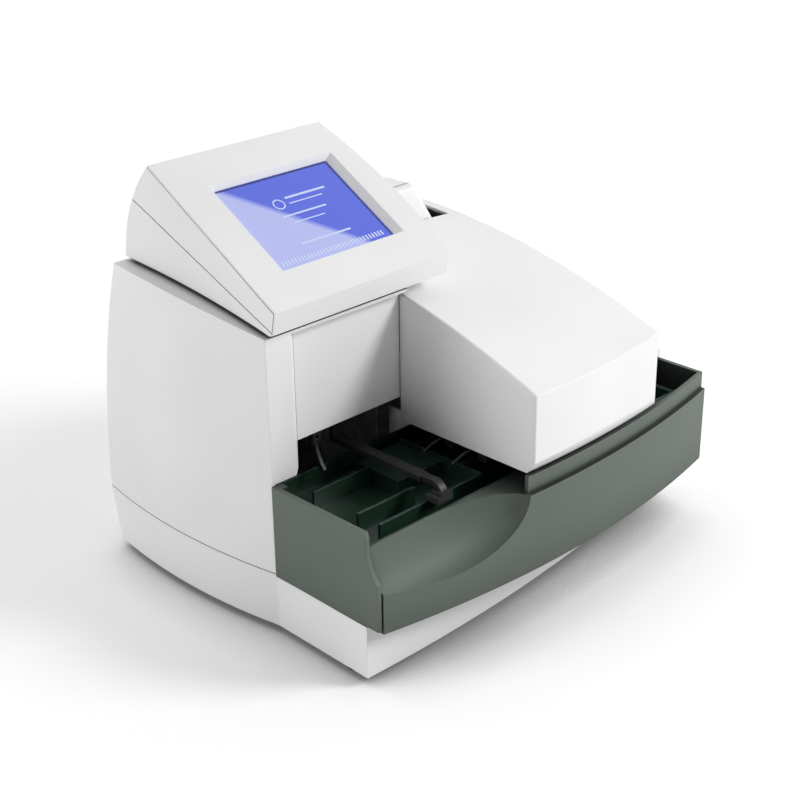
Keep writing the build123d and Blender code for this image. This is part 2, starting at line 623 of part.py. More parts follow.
def seam_band(gap):
    """A thin wedge along the head's side seam."""
    (y0, z0), (y1, z1) = LIP_LOW, HEAD_SEAM_BACK
    start = (y0 + 1.0, z0 + 0.9)
    run, rise = y1 - start[0], z1 - start[1]
    stretch = 1.2
    end = (start[0] + run * stretch, start[1] + rise * stretch)
    half = gap / 2
    face = polygon((start[0], start[1] - half), (end[0], end[1] - half), (end[0], end[1] + half),
                   (start[0], start[1] + half))
    below = polygon((start[0] - 30, start[1] - half), start, end, (end[0], 0), (start[0] - 30, 0))
    return side_prism(face, (-FAR / 4, FAR)), side_prism(below, (-FAR / 4, FAR))


SLOPED = Plane(origin=(0, LIP_TOP[0], LIP_TOP[1]), x_dir=(1, 0, 0), z_dir=(0, -sin(SLOPE), cos(SLOPE)))


def sloped_block(x, up, depth):
    """A box in the sloped face's own frame; depth is counted below the face."""
    return SLOPED * block(x, up, (-depth[1], -depth[0]))


def funnel(grow, low, high):
    """The recess around the screen, from the window up past the bezel face."""
    x0, x1 = SCREEN_LEFT - grow, SCREEN_LEFT + SCREEN_WIDTH + grow
    s0, s1 = SCREEN_UP - grow, SCREEN_UP + SCREEN_HEIGHT + grow
    per = 1 / SCREEN_DEPTH

    def ring(depth):
        t = (SCREEN_DEPTH - depth) * per
        points = ((x0 - FUNNEL_SIDE * t, s0 - FUNNEL_SIDE * t), (x1 + FUNNEL_RIGHT * t, s0 - FUNNEL_SIDE * t),
                  (x1 + FUNNEL_RIGHT * t, s1 + FUNNEL_SIDE * t), (x0 - FUNNEL_SIDE * t, s1 + FUNNEL_SIDE * t))
        return SLOPED * Pos(0, 0, -depth) * polygon(*points)

    return loft([ring(low), ring(high)])


def display_bezel():
    """Front frame of the display: sloped face, lip and the recess round the screen."""
    skin = head_solid() & front_band(BEZEL_SKIN)
    funnel_skin = funnel(1.8, SCREEN_DEPTH, BEZEL_SKIN * 0.5)
    rail = sloped_block((HEAD_LEFT + WALL + 0.6, HEAD_LEFT + WALL + 3), (10, 158), (BEZEL_SKIN * 0.5, 7))
    return (skin + funnel_skin + rail) - funnel(0, SCREEN_DEPTH + 0.5, -1.0)


def display_side_shell():
    """Rear half of the head above the side seam."""
    seam, below = seam_band(SEAM_GAP)
    shell = head_solid() - front_band(BEZEL_SKIN + SEAM_GAP * 0.7) - seam - below
    return shell - head_cavity()


def head_cavity():
    cavity = side_prism(offset(head_outline(), -WALL, kind=Kind.INTERSECTION), (HEAD_LEFT + WALL, FAR))
    cavity &= plan_prism(head_plan(WALL), (0, FAR))
    return cavity + (front_band(BEZEL_SKIN + 8) & plan_prism(head_plan(WALL), (0, FAR)) & head_solid())


def display_base_shell():
    """Lower part of the head, with a collar that stands on the tower."""
    seam, below = seam_band(SEAM_GAP)
    shell = (head_solid() & below) - seam - front_band(BEZEL_SKIN + SEAM_GAP * 0.7) - head_cavity()
    low, mid, high = ((y, z - HEAD_GROOVE / 2) for y, z in TOWER_TOP)
    collar_face = make_face([
        ThreePointArc(low, mid, high), Line(high, (high[0], high[1] + HEAD_GROOVE + 1)),
        ThreePointArc((high[0], high[1] + HEAD_GROOVE + 1), (mid[0], mid[1] + HEAD_GROOVE + 1),
                      (low[0], low[1] + HEAD_GROOVE + 1)),
        Line((low[0], low[1] + HEAD_GROOVE + 1), low)])
    ring = block((HEAD_LEFT + 5, TOWER_RIGHT - 6), (BODY_FRONT + 5, HEAD_LOW_BACK[0] - 5), (0, FAR))
    ring -= block((HEAD_LEFT + 9, TOWER_RIGHT - 10), (BODY_FRONT + 9, HEAD_LOW_BACK[0] - 9), (0, FAR))
    return shell + (side_prism(collar_face, (0, WIDTH)) & ring)


def display_pieces():
    """Glass, display module and its board, stacked under the bezel's recess."""
    edge = 3.0
    x = (SCREEN_LEFT - edge, SCREEN_LEFT + SCREEN_WIDTH + edge)
    up = (SCREEN_UP - edge, SCREEN_UP + SCREEN_HEIGHT + edge)
    glass = (SCREEN_DEPTH + TOUCH, SCREEN_DEPTH + 1.6)
    keep("screen_glass", sloped_block(x, up, glass))
    module = (glass[1] + TOUCH, glass[1] + 8.0)
    frame = sloped_block((x[0] - 9, x[1] + 9), (up[0] - 5, up[1] + 4), module)
    keep("lcd_module", frame)
    board = (module[1] + 5.0, module[1] + 6.6)
    driver = sloped_block((x[0], x[1]), up, board)
    for u in (x[0] + 6, x[1] - 6):
        for v in (up[0] + 6, up[1] - 6):
            driver += SLOPED * Pos(u, v, -board[0] - 0.5) * Cylinder(3.0, 5.4, align=(
                Align.CENTER, Align.CENTER, Align.MIN))
    driver += sloped_block((x[0] + 30, x[0] + 52), (up[0] + 30, up[0] + 52), (board[1], board[1] + 2.5))
    keep("display_board", driver)


# ---------------------------------------------------------------- drawer
def tray_body():
    """Drawer tub: left cheek, right wall, floor and low cross walls."""
    left, right = TRAY_WALL, WIDTH - TRAY_WALL
    back = BODY_FRONT - RUN * 1.5
    start, mid, end = CHEEK_EDGE
    cheek = make_face([
        Line((start[0], TRAY_LOW), start), ThreePointArc(start, mid, end), Line(end, (end[0] + 2, RIM_Z)),
        Line((end[0] + 2, RIM_Z), (back, RIM_Z)), Line((back, RIM_Z), (back, TRAY_LOW)),
        Line((back, TRAY_LOW), (start[0], TRAY_LOW)),
    ])
    tub = side_prism(cheek, (0, left))
    tub += block((0, left + 6), (back - 8, back), (TRAY_LOW, RIM_Z))
    tub += block((right, WIDTH), (FRONT_INNER + TOUCH, back), (TRAY_LOW, LIP_Z))
    tub += block((left - 1, right + 1), (FRONT_INNER + TOUCH, back), (TRAY_LOW, TRAY_LOW + TRAY_FLOOR))
    wall_top = PLATFORM_FLOOR - TOUCH
    for y in ((FRONT_INNER + TOUCH, FRONT_INNER + 3), (back - 3, back)):
        tub += block((left - 1, right + 1), y, (TRAY_LOW, wall_top))
    for x in runner_lefts():
        tub -= block((x - TOUCH, x + RUNNER_WIDTH + TOUCH), (back - 4, back + 1),
                     (TRAY_LOW + TRAY_FLOOR, TRAY_LOW + TRAY_FLOOR + RUNNER_HEIGHT + 0.3))
    return tub


def front_fascia():
    """Bowed drawer front with the finger scoop and the raised lip."""
    x = (TRAY_WALL + SEAM_GAP, WIDTH)
    front = plan_prism(apron_plan(x, 0, FRONT_INNER), (TRAY_LOW, RIB_Z))
    # a skirt that hangs down in front of the lower casing
    front += plan_prism(apron_plan(x, 0, SKIRT_BACK), (FRONT_LOW, TRAY_LOW + 1))
    lip_x = (LIP_START, WIDTH)
    lip = plan_prism(apron_plan(lip_x, LIP_INSET, FRONT_INNER), (RIB_Z - 2, LIP_Z))
    lip_cut = plan_prism(apron_plan((lip_x[0] - 1, WIDTH - TRAY_WALL), LIP_INSET + LIP_THICK, FRONT_INNER + 1),
                         (RIB_Z, LIP_Z + 1))
    front += lip - lip_cut
    arc = EllipticalCenterArc((SCOOP_END, 0), SCOOP_LENGTH, SCOOP_DEPTH, start_angle=0, arc_size=90)
    tip, crest, far_left = (SCOOP_END + SCOOP_LENGTH, 0), (SCOOP_END, SCOOP_DEPTH), -20.0
    profile = make_face([arc, Line(crest, (far_left, SCOOP_DEPTH)), Line((far_left, SCOOP_DEPTH), (far_left, 0)),
                         Line((far_left, 0), tip)])
    bowl = scale(revolve(profile, Axis.X), by=(1, 1, SCOOP_HEIGHT / SCOOP_DEPTH))
    front -= Pos(0, SCOOP_AXIS_Y, RIB_Z) * bowl
    # hollow behind the skin
    deep = plan_prism(apron_plan((SCOOP_END + SCOOP_LENGTH + 13, WIDTH - 6), 3.2, FRONT_INNER - 6),
                      (FRONT_LOW - 1, RIB_Z - 3))
    shallow = plan_prism(apron_plan((TRAY_WALL + 5, SCOOP_END + SCOOP_LENGTH + 9), 3.2, FRONT_INNER - 6),
                         (FRONT_LOW - 1, RIB_Z - SCOOP_HEIGHT - 4))
    return front - deep - shallow


def strip_platform():
    """Insert with the cross ribs that the test strips lie on."""
    floor = (PLATFORM_FLOOR, PLATFORM_FLOOR + 2.5)
    front = FRONT_INNER + 0.4
    pad_y = BODY_FRONT - RUN * 1.5 - 8.6
    plate = block((TRAY_WALL + 0.5, PLATFORM_RIGHT), (front, pad_y), floor)
    plate += block((TRAY_WALL + 6.6, PLATFORM_RIGHT), (pad_y - 1, PLATFORM_BACK), floor)
    plate += block((TRAY_WALL + 0.5, PLATFORM_RIGHT), (front, front + 2), (floor[0], RIB_Z - 0.6))
    plate += block((TRAY_WALL + 6.6, PLATFORM_RIGHT), (PLATFORM_BACK - 2, PLATFORM_BACK), (floor[0], RIB_Z - 0.4))
    plate += block((PLATFORM_RIGHT - 2, PLATFORM_RIGHT), (front, PLATFORM_BACK), (floor[0], RIB_Z - 4))
    rib_rows = ((108.7, RIB_LEFT, BAR_X), (56.7, RIB_LEFT, BAR_X), (32.4, RIB_LEFT, TOWER_RIGHT - 1))
    for y, x0, x1 in rib_rows:
        plate += block((x0, x1), (y, y + RIB_THICK), (floor[1] - 0.5, RIB_Z))
    turn = TOWER_RIGHT - 1 - RIB_THICK
    plate += block((turn, turn + RIB_THICK), (32.4, PLATFORM_BACK - 14), (floor[1] - 0.5, RIB_Z))
    plate += block((BAR_X + 2, turn + 1), (78, PLATFORM_BACK - 12), (floor[1] - 0.5, RIB_Z - 4))
    for y in (56.7, 108.7):
        plate += block((turn, PLATFORM_RIGHT - 1), (y, y + RIB_THICK), (floor[1] - 0.5, RIB_Z))
    return plate


def waste_box():
    """Open bin for used strips, right of the platform."""
    x = (PLATFORM_RIGHT + 2, runner_lefts()[1] - 2)
    y = (FRONT_INNER + 3.5, BODY_FRONT - 8)
    low = TRAY_LOW + TRAY_FLOOR
    outer = block(x, y, (low, RIB_Z - 2))
    inner = block((x[0] + 2, x[1] - 2), (y[0] + 2, y[1] - 2), (low + 2, FAR))
    rim = block((x[0] - 1, x[1] + 3), (y[0] - 0.2, y[1] + 2), (RIB_Z - 4, RIB_Z - 2))
    return outer + rim - inner


def runner_lefts():
    return RUNNER_INSET, WIDTH - RUNNER_INSET - RUNNER_WIDTH


def add_runners():
    """Steel runners under the drawer and the channels that they slide in."""
    low = TRAY_LOW + TRAY_FLOOR
    for x, side in zip(runner_lefts(), ("left", "right")):
        bar = block((x, x + RUNNER_WIDTH), (FRONT_INNER + 20, RUNNER_BACK), (low, low + RUNNER_HEIGHT))
        keep(f"drawer_runner_{side}", bar)
        channel = block((x - RUN - 2, x + RUNNER_WIDTH + RUN + 2), (BODY_FRONT + 4, RUNNER_BACK + 10),
                        (CHASSIS_TOP, low + RUNNER_HEIGHT + 3))
        channel -= block((x - RUN, x + RUNNER_WIDTH + RUN), (0, RUNNER_BACK + RUN), (low - RUN, FAR))
        keep(f"drawer_channel_{side}", channel)


# ---------------------------------------------------------------- strip pusher
BRACKET_THICK = 2.6
BRACKET_LEFT = RUNNER_INSET + RUNNER_WIDTH + 4.0
BRACKET_RIGHT = TOWER_RIGHT - 8.0 - BRACKET_THICK
MOTOR_AXIS = (PUSHER_ROD_Y + 43.5, PUSHER_ROD_Z + PUSHER_ROD_PITCH / 2)
MOTOR_HALF = 17.5


def pusher_rods():
    """Two steel rods across the tower, between the brackets."""
    length = BRACKET_RIGHT + BRACKET_THICK - BRACKET_LEFT
    return Compound([rod("x", (BRACKET_LEFT, PUSHER_ROD_Y, PUSHER_ROD_Z + k * PUSHER_ROD_PITCH), length,
                         ROD_RADIUS) for k in (0, 1)])


def pusher_bracket(x_low, foot, back):
    """Upright plate from the chassis that holds the ends of both rods."""
    x = (x_low, x_low + BRACKET_THICK)
    y = (PUSHER_ROD_Y - 12, back)
    top = PUSHER_ROD_Z + PUSHER_ROD_PITCH + 12
    plate = block(x, y, (CHASSIS_TOP, top)) + block(foot, y, (CHASSIS_TOP, CHASSIS_TOP + 3))
    for k in (0, 1):
        z = PUSHER_ROD_Z + k * PUSHER_ROD_PITCH
        plate -= rod("x", (x[0] - 1, PUSHER_ROD_Y, z), BRACKET_THICK + 2, ROD_RADIUS)
    return plate


def add_pusher_brackets():
    """Left bracket, which also carries the motor, and right bracket."""
    left = pusher_bracket(BRACKET_LEFT, (BRACKET_LEFT, BRACKET_LEFT + 16), MOTOR_AXIS[0] + MOTOR_HALF + 1)
    left -= rod("x", (BRACKET_LEFT - 1, *MOTOR_AXIS), BRACKET_THICK + 2, 3.6)
    keep("pusher_bracket_left", left)
    right = pusher_bracket(BRACKET_RIGHT, (BRACKET_RIGHT - 14, BRACKET_RIGHT + BRACKET_THICK), PUSHER_ROD_Y + 12)
    keep("pusher_bracket_right", right)


def pusher_carriage():
    """Sliding block on the two rods."""
    half = CARRIAGE_WIDTH / 2
    z = (PUSHER_ROD_Z - 9, PUSHER_ROD_Z + PUSHER_ROD_PITCH + 9)
    block_ = block((BAR_X - half, BAR_X + half), (PUSHER_ROD_Y - 9, PUSHER_ROD_Y + 9), z)
    for k in (0, 1):
        height = PUSHER_ROD_Z + k * PUSHER_ROD_PITCH
        block_ -= rod("x", (BAR_X - half - 1, PUSHER_ROD_Y, height), CARRIAGE_WIDTH + 2, ROD_RADIUS + BORE_PLAY)
    return block_


def pusher_arm():
    """Dark arm that comes down behind the panel and reaches forward over the ribs."""
    x = (BAR_X - BAR_WIDTH / 2, BAR_X + BAR_WIDTH / 2)
    back = PUSHER_ROD_Y - 9
    upright_y = (back - 4.5, back)
    top = BAR_Z + BAR_THICK
    arm = block(x, upright_y, (BAR_Z, PUSHER_ROD_Z + PUSHER_ROD_PITCH))
    arm += block(x, (BAR_FRONT, back), (BAR_Z, top))
    outer, inner = BAR_FRONT - 22.0, BAR_FRONT - 17.0
    hook = make_face([
        Line((BAR_FRONT + 0.5, BAR_Z), (BAR_FRONT + 0.5, top)), Line((BAR_FRONT + 0.5, top), (BAR_FRONT - 6, top)),
        ThreePointArc((BAR_FRONT - 6, top), (outer + 3.2, top - 3.2), (outer, RIB_Z + 6)),
        Line((outer, RIB_Z + 6), (inner, RIB_Z + 6)),
        ThreePointArc((inner, RIB_Z + 6), (inner + 3, BAR_Z - 1.0), (BAR_FRONT - 6, BAR_Z)),
        Line((BAR_FRONT - 6, BAR_Z), (BAR_FRONT + 0.5, BAR_Z)),
    ])
    return arm + side_prism(hook, (x[0] + 2, x[1] - 1))


def pusher_foot():
    """Rubber-faced block at the arm's tip that pushes the strips."""
    x = (BAR_X - 11, BAR_X + 6)
    y = (FRONT_INNER + 5, BAR_FRONT - 12)
    foot = block(x, y, (RIB_Z + 0.6, RIB_Z + 6))
    foot += block((x[0] + 5, x[1]), (y[0] + 1, y[1] - 1), (RIB_Z + 5.5, RIB_Z + 8))
    return foot - block((BAR_X - BAR_WIDTH / 2 + 2, BAR_X + BAR_WIDTH / 2 - 1),
                        (BAR_FRONT - 22.5, BAR_FRONT - 14), (RIB_Z + 6, FAR))


def pusher_motor():
    """Stepper motor on the left bracket; its shaft points to the left."""
    y, z = MOTOR_AXIS
    face = BRACKET_LEFT + BRACKET_THICK
    body = block((face, face + 24), (y - MOTOR_HALF, y + MOTOR_HALF), (z - MOTOR_HALF, z + MOTOR_HALF))
    body = chamfer(body.edges().filter_by(Axis.X), 4.0)
    return body + rod("x", (BRACKET_LEFT - 9, y, z), 10.0 + BRACKET_THICK, 2.5)


def pusher_pulley():
    """Flanged pulley on the motor's shaft."""
    y, z = MOTOR_AXIS
    x = BRACKET_LEFT - 8.0
    pulley = rod("x", (x, y, z), 6.4, PULLEY_RADIUS)
    for u in (x, x + 5.4):
        pulley += rod("x", (u, y, z), 1.0, PULLEY_RADIUS + 1.6)
    return pulley - rod("x", (x - 1, y, z), 9, 2.5 + BORE_PLAY)


# ---------------------------------------------------------------- rake under the optics
def rake_rods():
    """Two thin rods across the wing, under the optics plate."""
    x = (TOWER_RIGHT + WALL + 0.6, WING_RIGHT - WALL - 0.6)
    return Compound([rod("x", (x[0], y, RAKE_ROD_Z), x[1] - x[0], RAKE_ROD_RADIUS) for y in RAKE_ROD_Y])


RAKE_ROD_Z = OPTICS_Z - 3.4
RAKE_ROD_Y = (26.0, 112.0)


def strip_rake():
    """Bar that draws the strips under the reading head."""
    x = (RAKE_X, RAKE_X + 8)
    bar = block(x, (RAKE_ROD_Y[0] - 5, RAKE_ROD_Y[1] + 5), (RAKE_ROD_Z - 3.6, OPTICS_Z - RUN))
    for y in RAKE_ROD_Y:
        bar -= rod("x", (x[0] - 1, y, RAKE_ROD_Z), 10, RAKE_ROD_RADIUS + BORE_PLAY)
    for y in (46.0, 84.0):
        bar += block((x[0] + 2, x[1]), (y - 5, y + 5), (RIB_Z + 0.8, RAKE_ROD_Z - 3))
    return bar


def rake_fingers():
    """Bent spring wires that reach out of the wing and hold the strips down."""
    wires = []
    for y in (50.0, 82.5):
        z = RAKE_ROD_Z - 5.2
        path = FilletPolyline((RAKE_X + 1.9, y, z), (RAKE_X - 15, y, z), (RAKE_X - 34, y - 4.5, z),
                              (RAKE_X - 34, y + 1, z - 9), radius=2.0)
        start = Plane(origin=path @ 0, z_dir=path % 0)
        wires.append(sweep(start * Circle(1.1), path=path))
    return Compound(wires)


def strip_lever_parts():
    """Small sensing lever under the panel, on its own bracket."""
    x = (56.0, 64.0)
    axis_y, axis_z = PANEL_Y + 4.0, PANEL_LOW - 8.0
    bracket = block(x, (PANEL_Y + 1, PANEL_Y + 7), (axis_z - 3, PANEL_LOW))
    bracket -= block((x[0] + 2, x[1] - 2), (0, FAR), (axis_z - 4, axis_z + 4.5))
    bracket -= rod("x", (x[0] - 1, axis_y, axis_z), 10, 1.25)
    lever_x = (x[0] + 2 + RUN, x[1] - 2 - RUN)
    side = make_face([
        Line((axis_y - 2.6, axis_z + 1.5), (axis_y + 2.6, axis_z + 1.5)),
        Line((axis_y + 2.6, axis_z + 1.5), (axis_y + 2.0, axis_z - 8)),
        ThreePointArc((axis_y + 2.0, axis_z - 8), (axis_y - 2.5, axis_z - 18), (axis_y - 11, RIB_Z + 3)),
        Line((axis_y - 11, RIB_Z + 3), (axis_y - 12, RIB_Z + 6)),
        ThreePointArc((axis_y - 12, RIB_Z + 6), (axis_y - 5.5, axis_z - 14), (axis_y - 2.6, axis_z - 6)),
        Line((axis_y - 2.6, axis_z - 6), (axis_y - 2.6, axis_z + 1.5)),
    ])
    lever = side_prism(side, lever_x)
    lever += rod("x", (x[0] + 0.2, axis_y, axis_z), x[1] - x[0] - 0.4, 1.25 - BORE_PLAY)
    return bracket, lever


# ---------------------------------------------------------------- scanner
def optics_chassis():
    """Sheet-metal bridge over the drawer that carries rods, rake and motor."""
    x = (TOWER_RIGHT + WALL + 0.5, WING_RIGHT - WALL - 0.5)
    back = 240.0
    top = OPTICS_Z + OPTICS_THICK
    deck = block(x, (8, back), (OPTICS_Z, top))
    barrel_y = SCAN_START + SCAN_LENGTH / 2
    deck -= block((SCAN_X - 9, SCAN_X + 9), (barrel_y - SCAN_FORE - 10, barrel_y + SCAN_AFT + 10), (0, FAR))
    for side in ((x[0], x[0] + 2), (x[1] - 2, x[1])):
        deck += block(side, (PLATFORM_BACK + 8, back), (CHASSIS_TOP, top))
        foot = (side[0], side[0] + 12) if side[0] < SCAN_X else (side[1] - 12, side[1])
        deck += block(foot, (PLATFORM_BACK + 8, back), (CHASSIS_TOP, CHASSIS_TOP + 2))
        tab = (side[0], side[1])
        deck += block(tab, (RAKE_ROD_Y[0] - 5, RAKE_ROD_Y[1] + 5), (RAKE_ROD_Z - RAKE_ROD_RADIUS - 1, OPTICS_Z + 0.5))
    for y in ((SCAN_FRONT - 3, SCAN_FRONT), (SCAN_BACK, SCAN_BACK + 3)):
        deck += block((SCAN_X - SCAN_HALF - 8, SCAN_X + SCAN_HALF + 8), y, (top - 0.5, SCAN_Z + 8))
    for rx in scan_rod_x():
        deck -= rod("y", (rx, 0, SCAN_Z), back, ROD_RADIUS)
    for y in RAKE_ROD_Y:
        deck -= rod("x", (x[0] - 1, y, RAKE_ROD_Z), x[1] - x[0] + 2, RAKE_ROD_RADIUS)
    deck -= rod("y", (SCAN_X, 0, SCREW_Z), back, 3.0)
    return deck


SCAN_FRONT = SCAN_START - SCAN_FORE - 4.0
SCAN_BACK = SCAN_START + SCAN_LENGTH + SCAN_AFT + 4.0
SCREW_Z = SCAN_Z + 12.0


def scan_rod_x():
    return SCAN_X - SCAN_HALF, SCAN_X + SCAN_HALF


def scan_rods():
    """Two steel rods that the optical head rides on."""
    length = SCAN_BACK - SCAN_FRONT + 6
    return Compound([rod("y", (x, SCAN_FRONT - 3, SCAN_Z), length, ROD_RADIUS) for x in scan_rod_x()])


def scan_carriage():
    """Optical head: a block on two rods with a reading tube that points down."""
    y = (SCAN_START, SCAN_START + SCAN_LENGTH)
    low = OPTICS_Z + OPTICS_THICK + 3.0
    head = block((SCAN_X - SCAN_HALF - 6, SCAN_X + SCAN_HALF + 6), y, (low, SCAN_Z + 18))
    for rx in scan_rod_x():
        head -= rod("y", (rx, y[0] - 1, SCAN_Z), SCAN_LENGTH + 2, ROD_RADIUS + BORE_PLAY)
    head -= rod("y", (SCAN_X, y[0] - 1, SCREW_Z), SCAN_LENGTH + 2, SCREW_RADIUS + RUN)
    head -= rod("z", (SCAN_X, (y[0] + y[1]) / 2, low - 1), 8.0, 7.0)
    return head


SCREW_RADIUS = 2.6


def lens_barrel():
    y = SCAN_START + SCAN_LENGTH / 2
    low = OPTICS_Z + RUN
    top = OPTICS_Z + OPTICS_THICK + 3.0 + 7.0
    barrel = rod("z", (SCAN_X, y, low), top - low, 6.9)
    return barrel - rod("z", (SCAN_X, y, low - 1), top - low - 3, 4.6)


def sensor_board():
    """Photodiode board on top of the optical head."""
    y = (SCAN_START + 3, SCAN_START + SCAN_LENGTH - 3)
    low = SCAN_Z + 18
    board = block((SCAN_X - 28, SCAN_X + 28), y, (low, low + 1.6))
    board += block((SCAN_X - 10, SCAN_X + 10), (y[0] + 6, y[0] + 14), (low + 1.6, low + 5))
    return board


def scan_screw():
    """Lead screw that moves the optical head, carried by the two uprights."""
    y = (SCAN_FRONT - 2.5, SCAN_BACK + 11.0)
    screw = rod("y", (SCAN_X, y[0], SCREW_Z), y[1] - y[0], 3.0 - BORE_PLAY)
    grip = rod("y", (SCAN_X, SCAN_FRONT + 0.5, SCREW_Z), SCAN_BACK - SCAN_FRONT - 1, 4.0)
    grip -= rod("y", (SCAN_X, SCAN_FRONT, SCREW_Z), SCAN_BACK - SCAN_FRONT, SCREW_RADIUS)
    return screw - grip


def scan_motor():
    """Stepper motor at the back end of the lead screw."""
    y = (SCAN_BACK + 3.0, SCAN_BACK + 27.0)
    body = block((SCAN_X - 17.5, SCAN_X + 17.5), y, (SCREW_Z - 17.5, SCREW_Z + 17.5))
    body += block((SCAN_X - 16, SCAN_X + 16), y, (OPTICS_Z + OPTICS_THICK, SCREW_Z - 10))
    return body - rod("y", (SCAN_X, y[0] - 1, SCREW_Z), 10.0, 3.4)


# ---------------------------------------------------------------- printer
def hump(inset=0.0):
    """Rounded outer form of the printer's cowl and lid, or the hollow inside it."""
    low_z = deck_z(PRINTER_RIGHT, PRINTER_FRONT) - 2.0
    back, front = LID_BACK - inset, PRINTER_FRONT + RUN + inset

    def ring(left, right, front_y, back_y):
        return polygon((left, front_y), (right, front_y), (right, back_y), (left, back_y))

    low = ring(PRINTER_LEFT + inset, PRINTER_RIGHT - inset, front, back)
    high = ring(PRINTER_LEFT + 12 + inset, PRINTER_RIGHT - 17 - inset, front + 8, back - 12)
    body = loft([Pos(0, 0, low_z) * low, Pos(0, 0, PRINTER_TOP - inset) * high])
    uprights = [e for e in body.edges() if abs(e.center().Z - (low_z + PRINTER_TOP - inset) / 2) < 2]
    body = fillet(uprights, 9.0 - inset)
    return fillet(body.edges().group_by(Axis.Z)[-1], 6.0 - inset)


def platen_axis():
    """Y and Z of the platen roller, just behind the paper slot."""
    return PRINTER_FRONT + COWL_DEPTH + PRINTER_SLOT + PLATEN_RADIUS + 1.0, PRINTER_TOP - 17.0


def platen_ends():
    """Left faces of the two cheeks that hold the platen roller."""
    middle = (PRINTER_LEFT + PRINTER_RIGHT - 5) / 2
    return middle - ROLL_WIDTH / 2 - 6, middle + ROLL_WIDTH / 2 + 4


def lid_axis():
    return LID_BACK - 2.6, deck_z(PRINTER_RIGHT, PRINTER_FRONT) + 2.6


def hinge_places():
    """Left ends of the lid's two knuckles."""
    return PRINTER_LEFT + 16, PRINTER_RIGHT - 28


